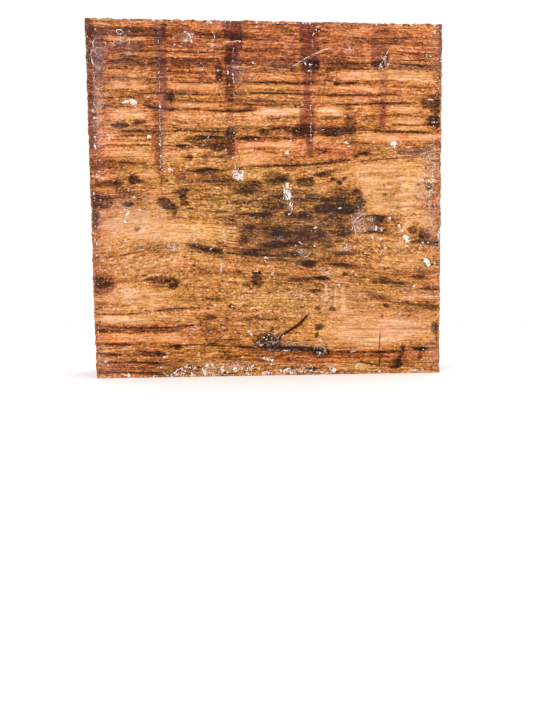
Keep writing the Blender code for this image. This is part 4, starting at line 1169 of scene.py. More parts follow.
LONG_SWAY = ((45, 50, 50), 1, 0.5, 16.3)
# Streaks in the violet sheen painted on the end wax.
SAWN_SHEEN_STREAKS = ((200, 760, 14), 3, 0.65, 21)
LACE_BENDS = (((330, 330, 330), 2, 0.6, 31), ((330, 330, 330), 2, 0.6, 33))
LACE_BEND = 0.5 * MM
LACE_CELLS = 620.0
MARKS = "line stain tone red burn film rings scuff heart bloom ink oil lace".split()


def worked_vector(tree, operation, *terms):
    """What a Vector Math node gives. The last term of SCALE is a number."""
    inputs = dict(enumerate(terms))
    if operation == "SCALE":
        inputs["Scale"] = inputs.pop(1)
    return place(tree, "ShaderNodeVectorMath", inputs, operation=operation).outputs[0]


def spread_noise(tree, where, stretch, detail, roughness, seed=0):
    """Noise of about -1 to 1 on a place stretched by a vector in repeats per metre."""
    apart = (seed, seed * 1.7, seed * 0.6)
    stretched = worked_vector(tree, "MULTIPLY_ADD", where, stretch, apart)
    noise = place(
        tree,
        "ShaderNodeTexNoise",
        {"Vector": stretched, "Scale": 1.0, "Detail": detail, "Roughness": roughness},
    )
    wide = place(
        tree,
        "ShaderNodeMapRange",
        {"Value": noise.outputs[0], "From Min": 0.28, "From Max": 0.72, "To Min": -1.0, "To Max": 1.0},
        clamp=False,
    )
    return wide.outputs[0]


def stepped(tree, value, low, high):
    """A smooth step of a socket, 0 at low and 1 at high."""
    ends = {"Value": value, "From Min": low, "From Max": high, "To Min": 0.0, "To Max": 1.0}
    return place(tree, "ShaderNodeMapRange", ends, interpolation_type="SMOOTHSTEP").outputs[0]


def mixed(tree, share, first, second, way="MIX"):
    """Two colours mixed by a share."""
    parts = {"Factor": share, 6: first, 7: second}
    return place(tree, "ShaderNodeMix", parts, data_type="RGBA", blend_type=way).outputs[2]


def leaned(tree, colour, lean, above, below):
    """A colour multiplied by one tint as far as a lean is above 0, and by another as far as it is below."""
    over = worked(tree, "MAXIMUM", lean, 0.0)
    under = worked(tree, "MAXIMUM", worked(tree, "MULTIPLY", lean, -1.0), 0.0)
    colour = mixed(tree, over, colour, above, "MULTIPLY")
    return mixed(tree, under, colour, below, "MULTIPLY")


def read_field(tree, name, part="Fac"):
    return place(tree, "ShaderNodeAttribute", attribute_name=name).outputs[part]


def total_of(tree, *terms):
    """The sum of sockets, each times a weight."""
    running = None
    for socket, weight in terms:
        if running is None:
            running = worked(tree, "MULTIPLY", socket, weight)
        else:
            running = worked(tree, "MULTIPLY_ADD", socket, weight, running)
    return running


def shade_ramp(tree, value, stops):
    made = place(tree, "ShaderNodeValToRGB", {0: value})
    elements = made.color_ramp.elements
    while len(elements) < len(stops):
        elements.new(0.5)
    for element, (share, colour) in zip(elements, stops):
        element.position = share
        element.color = (*colour, 1.0)
    return made.outputs[0]


def grain_noises(tree, fibre):
    """All the noises of the grain by their names."""
    sway = total_of(
        tree,
        (spread_noise(tree, fibre, *SHORT_SWAY), 0.16 * MM),
        (spread_noise(tree, fibre, *LONG_SWAY), 0.6 * MM),
    )
    swayed = place(tree, "ShaderNodeCombineXYZ", {1: sway, 2: sway}).outputs[0]
    wavy = worked_vector(tree, "ADD", fibre, swayed)
    grain = SimpleNamespace()
    for where, recipes in ((wavy, SWAYED_GRAIN), (fibre, STILL_GRAIN)):
        for name, recipe in recipes.items():
            setattr(grain, name, spread_noise(tree, where, *recipe))
    return grain


def dark_marks(tree, mark, grain):
    """How dark the growth lines and the stains are, once the fibres have frayed their edges."""
    fray = total_of(
        tree, (grain.strands, 0.20), (grain.crumble, 0.10), (grain.mottle, 0.10), (grain.breaks, 0.20)
    )
    line_edge = worked(tree, "MULTIPLY_ADD", stepped(tree, mark.line, 0.0, 0.35), fray, mark.line)
    fray = total_of(
        tree, (grain.crumble, 0.20), (grain.mottle, 0.25), (grain.strands, 0.15), (grain.breaks, 0.10)
    )
    stain_edge = worked(tree, "MULTIPLY_ADD", stepped(tree, mark.stain, 0.0, 0.22), fray, mark.stain)
    depth = worked(tree, "MULTIPLY_ADD", stepped(tree, mark.stain, 0.1, 1.0), 0.45, 0.55)
    return (
        stepped(tree, line_edge, 0.14, 1.05),
        worked(tree, "MULTIPLY", stepped(tree, stain_edge, 0.28, 0.66), depth),
    )


def fine_grain(tree, mark, grain):
    """The fine light and dark of the fibres: stringy where rings are dense, calm where the wood is pale."""
    veins = worked(tree, "ABSOLUTE", grain.veins)
    long_grain = total_of(
        tree,
        (grain.strands, 0.155),
        (grain.dashes, 0.075),
        (grain.threads, 0.11),
        (stepped(tree, veins, 0.20, 0.0), -0.10),
    )
    short_grain = total_of(
        tree,
        (grain.crumble, 0.225),
        (grain.mottle, 0.115),
        (grain.specks, 0.07),
        (stepped(tree, grain.pores, 0.25, 1.0), -0.25),
        (stepped(tree, grain.flecks, 0.3, 1.1), 0.27),
    )
    pale = stepped(tree, mark.tone, 0.05, 0.18)
    smooth_wood = worked(tree, "MULTIPLY_ADD", pale, -0.26, 1.0)
    smooth_wood = worked(tree, "MULTIPLY_ADD", mark.rings, -0.14, smooth_wood)
    stringy = worked(tree, "MULTIPLY_ADD", mark.rings, 0.35, 1.0)
    stringy = worked(tree, "MULTIPLY_ADD", pale, 0.55, stringy)
    fine = worked(tree, "MULTIPLY", short_grain, smooth_wood)
    fine = worked(tree, "MULTIPLY_ADD", long_grain, stringy, fine)
    calm = worked(tree, "MULTIPLY_ADD", stepped(tree, mark.tone, -0.01, 0.16), -0.42, 1.12)
    calm = worked(tree, "MULTIPLY_ADD", stepped(tree, mark.red, -0.1, -0.6), 0.24, calm)
    calm = worked(tree, "MULTIPLY_ADD", stepped(tree, mark.tone, -0.08, -0.24), -0.28, calm)
    return worked(tree, "MULTIPLY", fine, calm)


def wood_shade(tree, mark, grain, line_dark, stain_cover, burnt):
    """How light the bare wood is, from 0 to 1. Red wood shows its lines more softly."""
    contours = worked(tree, "ABSOLUTE", grain.contours)
    soft = worked(tree, "MULTIPLY_ADD", stepped(tree, mark.red, 0.0, 0.8), -0.34, 1.0)
    ring_dark = worked(tree, "MULTIPLY", stepped(tree, grain.growth, 0.0, 0.8), mark.rings)
    ring_pale = worked(tree, "MULTIPLY", stepped(tree, grain.growth, -0.15, -0.8), mark.rings)
    ring_lines = worked(tree, "MULTIPLY", stepped(tree, contours, 0.14, 0.0), mark.rings)
    belts = worked(tree, "MULTIPLY", grain.belts, worked(tree, "ADD", mark.rings, 0.35))
    shade = total_of(
        tree,
        (mark.tone, 1.0),
        (fine_grain(tree, mark, grain), 1.0),
        (burnt, -0.06),
        (grain.clouds, 0.075),
        (belts, 0.062),
        (worked(tree, "MULTIPLY", ring_dark, soft), -0.19),
        (worked(tree, "MULTIPLY", ring_lines, soft), -0.17),
        (ring_pale, 0.08),
        (worked(tree, "MULTIPLY", line_dark, soft), -0.38),
        (worked(tree, "MULTIPLY", stain_cover, soft), -0.38),
    )
    return worked(tree, "ADD", shade, GROUND_SHADE)


def wood_colour(tree, mark, grain, shade):
    """The bare wood: sapwood or heart by its shade, then its leanings to red or olive, chalk or oil."""
    heart_fray = total_of(
        tree, (grain.strands, 0.05), (grain.mottle, 0.09), (grain.crumble, 0.05), (grain.clouds, 0.05)
    )
    heart_edge = worked(tree, "ADD", mark.heart, heart_fray)
    inside = stepped(tree, heart_edge, 0.45, 0.56)
    rim = worked(
        tree, "SUBTRACT", stepped(tree, heart_edge, 0.28, 0.46), stepped(tree, heart_edge, 0.50, 0.86)
    )
    shade = worked(tree, "MULTIPLY_ADD", rim, -0.20, shade)
    outer, inner = shade_ramp(tree, shade, SHADES), shade_ramp(tree, shade, HEART_SHADES)
    colour = mixed(tree, inside, outer, inner)
    hue = total_of(
        tree,
        (mark.red, 1.0),
        (stepped(tree, mark.tone, 0.03, 0.18), -0.26),
        (stepped(tree, mark.red, 0.0, 0.4), 0.20),
        (grain.broad_hue, 0.55),
        (grain.fine_hue, 0.75),
    )
    colour = leaned(tree, colour, hue, RED_TINT, OLIVE_TINT)
    chalk = total_of(
        tree,
        (grain.broad_chalk, 0.50),
        (grain.fine_chalk, 1.0),
        (stepped(tree, mark.tone, 0.04, 0.2), 0.16),
        (stepped(tree, mark.red, 0.3, 0.9), 0.25),
        (mark.oil, -0.9),
    )
    return leaned(tree, colour, chalk, CHALK_TINT, OIL_TINT)


def lace_net(tree, where):
    """1 on the edges of small bent cells, 0 inside them."""
    across, up = (
        worked(tree, "MULTIPLY", spread_noise(tree, where, *bend), LACE_BEND) for bend in LACE_BENDS
    )
    shift = place(tree, "ShaderNodeCombineXYZ", {0: across, 1: up, 2: across}).outputs[0]
    cells = place(
        tree,
        "ShaderNodeTexVoronoi",
        {"Vector": worked_vector(tree, "ADD", where, shift), "Scale": LACE_CELLS},
        feature="DISTANCE_TO_EDGE",
    )
    return stepped(tree, cells.outputs["Distance"], 0.12, 0.02)


def covered(tree, colour, share, strength, coat):
    """A colour under a coat of another, as thick as a share from 0 to 1 times a strength."""
    return mixed(tree, worked(tree, "MULTIPLY", share, strength), colour, coat)


def finish_chechen(material):
    """Bare wood first, then what lies on it: film, ink, the end wax with its violet sheen painted in, dust,
    lace and scuffs.
    """
    material.use_nodes = True
    tree = material.node_tree
    shader = tree.nodes["Principled BSDF"]
    fibre = read_field(tree, "fibre", "Vector")
    grain = grain_noises(tree, fibre)
    mark = SimpleNamespace(**{name: read_field(tree, name) for name in MARKS})

    line_dark, stain_cover = dark_marks(tree, mark, grain)
    burn_edge = total_of(
        tree, (mark.burn, 1.0), (grain.strands, 0.12), (grain.crumble, 0.10), (grain.mottle, 0.14)
    )
    burnt = stepped(tree, burn_edge, 0.36, 0.95)
    shade = wood_shade(tree, mark, grain, line_dark, stain_cover, burnt)
    colour = wood_colour(tree, mark, grain, shade)
    colour = mixed(tree, burnt, colour, BURN_TINT, "MULTIPLY")

    cloudy = stepped(tree, total_of(tree, (grain.mottle, 0.6), (grain.crumble, 0.5)), -0.7, 0.8)
    clouded = worked(tree, "MULTIPLY", mark.film, cloudy)
    milk = mixed(tree, stepped(tree, mark.tone, 0.05, 0.16), FILM_COLOUR, PALE_FILM_COLOUR)
    colour = covered(tree, colour, clouded, 0.62, milk)

    ink_edge = total_of(tree, (mark.ink, 1.0), (grain.mottle, 0.42), (grain.crumble, 0.34))
    darkest = worked(tree, "MAXIMUM", stain_cover, line_dark)
    inked = worked(tree, "MULTIPLY", stepped(tree, ink_edge, 0.25, 0.95), darkest)
    colour = covered(tree, colour, inked, 0.46, INK_COLOUR)

    # Painted sheen: the end wax is tinted violet as if it reflected bluish light, in streaks up the ends.
    where = place(tree, "ShaderNodeTexCoord").outputs["Object"]
    sheen_streaks = spread_noise(tree, where, *SAWN_SHEEN_STREAKS)
    sheen_cover = total_of(tree, (sheen_streaks, 0.30), (grain.mottle, 0.22), (grain.crumble, 0.14), (mark.bloom, 1.0))
    colour = covered(tree, colour, stepped(tree, sheen_cover, 0.25, 1.15), 0.74, PAINTED_SHEEN_COLOUR)

    dusty = total_of(tree, (grain.dust, 1.0), (mark.film, 0.35), (grain.mottle, 0.25), (grain.clouds, 0.12))
    colour = covered(tree, colour, stepped(tree, dusty, 1.08, 1.50), 0.55, LACE_COLOUR)

    lace_edge = total_of(tree, (mark.lace, 1.0), (grain.mottle, 0.35), (grain.breaks, 0.45))
    laced = worked(tree, "MULTIPLY", stepped(tree, lace_edge, 0.30, 0.80), lace_net(tree, fibre))
    colour = covered(tree, colour, laced, 0.66, LACE_COLOUR)

    scuff_edge = total_of(
        tree, (mark.scuff, 1.0), (grain.strands, 0.16), (grain.crumble, 0.16), (grain.breaks, 0.2)
    )
    colour = covered(tree, colour, stepped(tree, scuff_edge, 0.35, 1.0), 0.72, SCUFF_COLOUR)
    tree.links.new(colour, shader.inputs["Base Color"])

    rough = total_of(tree, (grain.strands, 0.05), (grain.mottle, 0.04), (clouded, -0.12))
    tree.links.new(worked(tree, "ADD", rough, 0.56), shader.inputs["Roughness"])
    height = total_of(
        tree,
        (grain.strands, 0.5),
        (grain.threads, 0.35),
        (grain.crumble, 0.35),
        (line_dark, -0.8),
        (laced, 1.0),
    )
    bump = place(tree, "ShaderNodeBump", {"Height": height, "Strength": 0.5, "Distance": 0.12 * MM})
    tree.links.new(bump.outputs[0], shader.inputs["Normal"])
    shader.inputs["Specular IOR Level"].default_value = 0.06


finish_chechen(chechen)
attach(block, "root")
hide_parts("bowl_blank")

# Torn fibres
# Where the saw came out of the wood it left short splinters standing along the arrises, lying with the
# grain. They are the block's own wood. Nodes scatter them by how near an arris each place is.

SPLINTERS_EACH_M2 = 260000
SPLINTER_RADIUS = 0.11 * MM
SPLINTER_LENGTH = 1.5 * MM
GRAIN_WAY = (0.0, math.radians(90), 0.0)
SCATTER_INPUTS = (
    ("Block", "Object"),
    ("Field", "String", ""),
    ("Thickest", "Float", 1000.0),
    ("Seed", "Int", 1),
)


def random_value(tree, kind, low, high, seed):
    """A different number or vector for each point."""
    lowest, highest, result = {"FLOAT": (2, 3, 1), "FLOAT_VECTOR": (0, 1, 0)}[kind]
    ends = {lowest: low, highest: high, "Seed": seed}
    return place(tree, "FunctionNodeRandomValue", ends, data_type=kind).outputs[result]


def scattered(tree, given):
    """Points on the block's skin, as thick as a field of it says, and how each is turned."""
    density = worked(tree, "MULTIPLY", field_value(tree, given["Field"]), given["Thickest"])
    points = place(
        tree,
        "GeometryNodeDistributePointsOnFaces",
        {"Mesh": mesh_of(tree, given["Block"]), "Density": density, "Seed": given["Seed"]},
    )
    return points.outputs["Points"], points.outputs["Rotation"]


def set_on(tree, points, instance, turn, size):
    """A copy of one mesh on each point, turned and scaled."""
    given = {"Points": points, "Instance": instance, "Rotation": turn, "Scale": size}
    return place(tree, "GeometryNodeInstanceOnPoints", given).outputs[0]


def splinter_tree():
    """Thin three-sided points scattered on a block where a field of it says, along X with some spread."""
    tree, given = new_tree(
        "torn_fibres",
        *SCATTER_INPUTS,
        ("Radius", "Float", 0.0001),
        ("Length", "Float", 0.001),
        ("Wood", "Material"),
    )
    points = scattered(tree, given)[0]
    fibre = place(
        tree,
        "GeometryNodeMeshCone",
        {"Vertices": 3, "Radius Top": 0.0, "Radius Bottom": given["Radius"], "Depth": given["Length"]},
        fill_type="NONE",
    )
    lean = random_value(tree, "FLOAT_VECTOR", (-0.5, -0.7, -0.4), (0.5, 0.7, 0.4), 3)
    turn = worked_vector(tree, "ADD", lean, GRAIN_WAY)
    size = random_value(tree, "FLOAT_VECTOR", (0.5, 0.5, 0.35), (1.4, 1.4, 1.2), 5)
    return ended(tree, set_on(tree, points, fibre.outputs["Mesh"], turn, size), given["Wood"])


def new_material(name, gloss):
    """A material with its tree and its shader, as glossy as its own light says."""
    material = bpy.data.materials.new(name)
    material.use_nodes = True
    shader = material.node_tree.nodes["Principled BSDF"]
    shader.inputs["Specular IOR Level"].default_value = gloss
    return material, material.node_tree, shader


def torn_wood():
    """The colour of fibres torn open: paler and drier than the sawn face."""
    material, tree, shader = new_material("torn_fibre", 0.1)
    where = place(tree, "ShaderNodeTexCoord").outputs["Object"]
    tuft = spread_noise(tree, where, (320, 320, 320), 2.0, 0.6)
    island = place(tree, "ShaderNodeNewGeometry").outputs["Random Per Island"]
    shade = total_of(tree, (tuft, 0.2), (island, 0.7))
    tree.links.new(shade_ramp(tree, shade, SHADES), shader.inputs["Base Color"])
    shader.inputs["Roughness"].default_value = 0.8
    return material


splinters = grown(
    "torn_fibres",
    splinter_tree(),
    {
        "Block": block,
        "Field": "fuzz",
        "Thickest": SPLINTERS_EACH_M2,
        "Radius": SPLINTER_RADIUS,
        "Length": SPLINTER_LENGTH,
        "Seed": 11,
        "Wood": torn_wood(),
    },
)
settle(splinters)
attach(splinters, "root")

# Crumbs of old wax
# The blank was sealed in white wax. It has been scraped and knocked off, and crumbs of it still cling,
# most along the arrises and beside the saw's burns. Nodes scatter them by a field on the block.

CRUMBS_EACH_M2 = 1500000
CRUMB_SIZE = 0.24 * MM
WAX_WHITE = (0.86, 0.82, 0.76, 1.0)
WAX_STAINED = (0.54, 0.36, 0.31, 1.0)


def wax_material():
    """White wax gone slightly yellow, a little dirty from crumb to crumb and in patches."""
    material, tree, shader = new_material("wax", 0.3)
    where = place(tree, "ShaderNodeTexCoord").outputs["Object"]
    grime = spread_noise(tree, where, (260, 260, 260), 3.0, 0.6)
    grain = spread_noise(tree, where, (1400, 1400, 1400), 2.0, 0.6, 2.2)
    dirt = total_of(tree, (read_field(tree, "own_shade"), 1.0), (grime, 0.35), (grain, 0.30))
    colour = mixed(tree, stepped(tree, dirt, 0.0, 1.1), WAX_WHITE, WAX_STAINED)
    tree.links.new(colour, shader.inputs["Base Color"])
    tree.links.new(worked(tree, "MULTIPLY_ADD", grain, 0.10, 0.48), shader.inputs["Roughness"])
    bump = place(tree, "ShaderNodeBump", {"Height": grain, "Strength": 0.4, "Distance": 0.1 * MM})
    tree.links.new(bump.outputs[0], shader.inputs["Normal"])
    return material


def crumb_tree():
    """Flattened lumps scattered on a block where a field of it says, few large and many small."""
    tree, given = new_tree("wax_crumbs", *SCATTER_INPUTS, ("Size", "Float", 0.0004), ("Wax", "Material"))
    points, skin_turn = scattered(tree, given)
    lump = place(tree, "GeometryNodeMeshIcoSphere", {"Radius": 1.0, "Subdivisions": 1})
    draw = random_value(tree, "FLOAT", 0.0, 1.0, 2)
    large = worked(tree, "MULTIPLY_ADD", worked(tree, "POWER", draw, 6.0), 1.0, 0.45)
    shape = random_value(tree, "FLOAT_VECTOR", (0.6, 0.5, 0.35), (1.5, 1.2, 0.8), 4)
    size = worked_vector(tree, "SCALE", worked_vector(tree, "SCALE", shape, large), given["Size"])
    spin = random_value(tree, "FLOAT_VECTOR", (-0.4, -0.4, -3.1), (0.4, 0.4, 3.1), 6)
    spun = place(tree, "FunctionNodeRotateRotation", {0: skin_turn, 1: spin}, rotation_space="LOCAL")
    lying = set_on(tree, points, lump.outputs[0], spun.outputs[0], size)
    own_shade = random_value(tree, "FLOAT", 0.1, 1.0, 8)
    return ended(tree, stored(tree, lying, "own_shade", own_shade, "INSTANCE"), given["Wax"])


wax = wax_material()
crumbs = grown(
    "wax_crumbs",
    crumb_tree(),
    {
        "Block": block,
        "Field": "crumbs",
        "Thickest": CRUMBS_EACH_M2,
        "Size": CRUMB_SIZE,
        "Seed": 5,
        "Wax": wax,
    },
)
settle(crumbs)
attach(crumbs, "root")

# Beads of wax along the burns
# Melted wax crept up the saw's burn marks and dried in rows of small beads, some run together.
# Each row has a path in mm on the broad face, a spacing, a bead size and the share of beads still there.

BEAD_ROWS = (
    (((-101, 203.5), (-30, 203.6)), 1.1, 0.5, 0.42), (((-28, 203.5), (40, 203.5)), 0.9, 0.56, 0.62),
    (((40, 203.5), (101, 203.4)), 1.1, 0.5, 0.42),
    (((-61.8, 200), (-61.9, 160), (-62.2, 118)), 1.05, 0.42, 0.62),
    (((-61.8, 158.6), (-61.9, 154.6)), 0.6, 0.62, 1), (((-61.9, 142), (-62.1, 132)), 0.8, 0.52, 0.9),
    (((-62, 128.4), (-62.1, 126)), 0.7, 0.5, 1), (((-96.6, 201), (-97.6, 196)), 1.2, 0.44, 0.7),
    (((-98.4, 190), (-99.4, 180), (-98.8, 168)), 1.3, 0.34, 0.6),
    (((-98.4, 163), (-99.4, 150), (-99.2, 130)), 0.95, 0.44, 0.75),
    (((-92.4, 194), (-91.6, 188)), 1.2, 0.36, 0.5),
    (((-19.4, 191), (-19.6, 176), (-19.4, 160)), 0.95, 0.42, 0.7),
    (((-19.6, 146), (-20.2, 134), (-20.2, 126)), 1.1, 0.4, 0.6),
    (((-24.6, 178), (-24.4, 170)), 1.3, 0.4, 0.6), (((26.4, 200), (26.6, 186)), 1.3, 0.4, 0.6),
    (((25.2, 180), (25.4, 166), (25.2, 150), (25, 136)), 1.25, 0.44, 0.65),
    (((66.6, 190), (67, 176)), 1.4, 0.4, 0.55), (((69.6, 188), (69, 178)), 1.6, 0.36, 0.5),
    (((-100.6, 120), (-101, 96), (-100.2, 70)), 1.5, 0.44, 0.6),
    (((-101.4, 60), (-100.6, 30), (-100.8, 4)), 1.6, 0.4, 0.5),
    (((99.6, 196), (100.6, 176), (100.2, 160)), 1.8, 0.44, 0.45),
    (((98.2, 150), (98.6, 126), (97.4, 110)), 1.3, 0.46, 0.7), (((66.9, 80), (67, 62)), 2, 0.34, 0.5),
    (((-34, 12), (-30.4, 8), (-26, 6.6)), 0.9, 0.42, 0.7), (((-28.4, 69), (-28.2, 61.6)), 1, 0.34, 0.8),
)
BEADS_CLOSER = 0.62
BEAD_STRAY = 0.24
BEAD_FLATNESS = 0.6
LUMP_STEPS = 2


def start_mesh(name, paths):
    """A mesh of loose edges along paths of places in metres."""
    places = []
    edges = []
    for path in paths:
        edges += [(len(places) + i, len(places) + i + 1) for i in range(len(path) - 1)]
        places += path
    mesh = bpy.data.meshes.new(name)
    mesh.from_pydata(places, edges, [])
    return mesh


def on_skin(u, v, lift=0.0):
    """A place on the broad face from its mm across and up."""
    return (u * MM, (-HALF_THICKNESS - lift) * MM, v * MM)


def bead_places(rows, seed):
    """Where each bead of the rows sits, with its size and its turn: spaced along the path, some missing."""
    chance = np.random.default_rng(seed)
    places, sizes, turns = [], [], []
    for path, spacing, size, share in rows:
        runs = runs_of(path)
        spacing *= BEADS_CLOSER
        count = int(sum(runs) / spacing)
        kept_runs = drift(np.arange(count)[:, None] * 1.0, 5.0, seed)
        for number in range(count):
            if chance.random() > share * (1 + 0.8 * kept_runs[number]):
                continue
            along = (number + chance.uniform(-0.6, 0.6)) * spacing
            step = 0
            while step < len(runs) - 1 and along > runs[step]:
                along -= runs[step]
                step += 1
            part = np.clip(along / runs[step], 0, 1)
            (from_u, from_v), (to_u, to_v) = path[step], path[step + 1]
            u = from_u + (to_u - from_u) * part + chance.normal(0, BEAD_STRAY)
            places.append(on_skin(u, from_v + (to_v - from_v) * part))
            grow = size * MM * (0.25 + 0.65 * chance.random() ** 1.8)
            wide, tall = grow * chance.uniform(0.7, 1.0), grow * chance.uniform(0.9, 1.9)
            sizes.append((wide, grow * BEAD_FLATNESS, tall))
            turns.append((0.0, chance.normal(0, 0.25), 0.0))
    return places, sizes, turns


def shaken(tree, geometry, pitch, detail, roughness, reach):
    """Geometry with each point moved by noise, as far as a reach."""
    noise = place(
        tree,
        "ShaderNodeTexNoise",
        {"Vector": position(tree), "Scale": pitch, "Detail": detail, "Roughness": roughness},
    )
    middle = worked_vector(tree, "SUBTRACT", noise.outputs["Color"], (0.5, 0.5, 0.5))
    shift = worked_vector(tree, "SCALE", middle, reach)
    return place(tree, "GeometryNodeSetPosition", {"Geometry": geometry, "Offset": shift}).outputs[0]


def lump_tree():
    """A rough lump on each point of a mesh, with the size and turn stored on that point."""
    tree, given = new_tree(
        "wax_lumps",
        ("Points", "Geometry"),
        ("Steps", "Int", 2),
        ("Roughness", "Float", 0.0002),
        ("Pitch", "Float", 1500.0),
        ("Wax", "Material"),
    )
    cloud = place(tree, "GeometryNodeMeshToPoints", {"Mesh": given["Points"]}).outputs[0]
    lump = place(tree, "GeometryNodeMeshIcoSphere", {"Radius": 1.0, "Subdivisions": given["Steps"]})
    turn = field_value(tree, "turn", "FLOAT_VECTOR")
    lying = set_on(tree, cloud, lump.outputs[0], turn, field_value(tree, "size", "FLOAT_VECTOR"))
    real = place(tree, "GeometryNodeRealizeInstances", {0: lying}).outputs[0]
    return ended(tree, shaken(tree, real, given["Pitch"], 2.0, 0.6, given["Roughness"]), given["Wax"])


def lumps(name, made_of, roughness, pitch, shades):
    """A piece of rough lumps from lists of places, half sizes and turns, and the range of their shades."""
    places, sizes, turns = made_of
    start = start_mesh(name + "_points", [[spot] for spot in places])
    chance = np.random.default_rng(len(places))
    write_field(start, "own_shade", chance.uniform(*shades, len(places)))
    write_field(start, "size", sizes, "FLOAT_VECTOR")
    write_field(start, "turn", turns, "FLOAT_VECTOR")
    values = {"Steps": LUMP_STEPS, "Roughness": roughness, "Pitch": pitch, "Wax": wax}
    made = grown(name, lumps_of_wax, values, start)
    settle(made)
    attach(made, "root")


lumps_of_wax = lump_tree()
lumps("wax_beads", bead_places(BEAD_ROWS, 21), 0.25 * MM, 2200, (0.25, 0.9))

# Flecks and smears of wax
# Thicker pieces of the sealer that stayed on the broad face: flecks, splashes and a crust at the foot.
# Each has a middle, a half length, a half height, how many lumps it is made of and, where it isn't level,
# a lean in degrees.

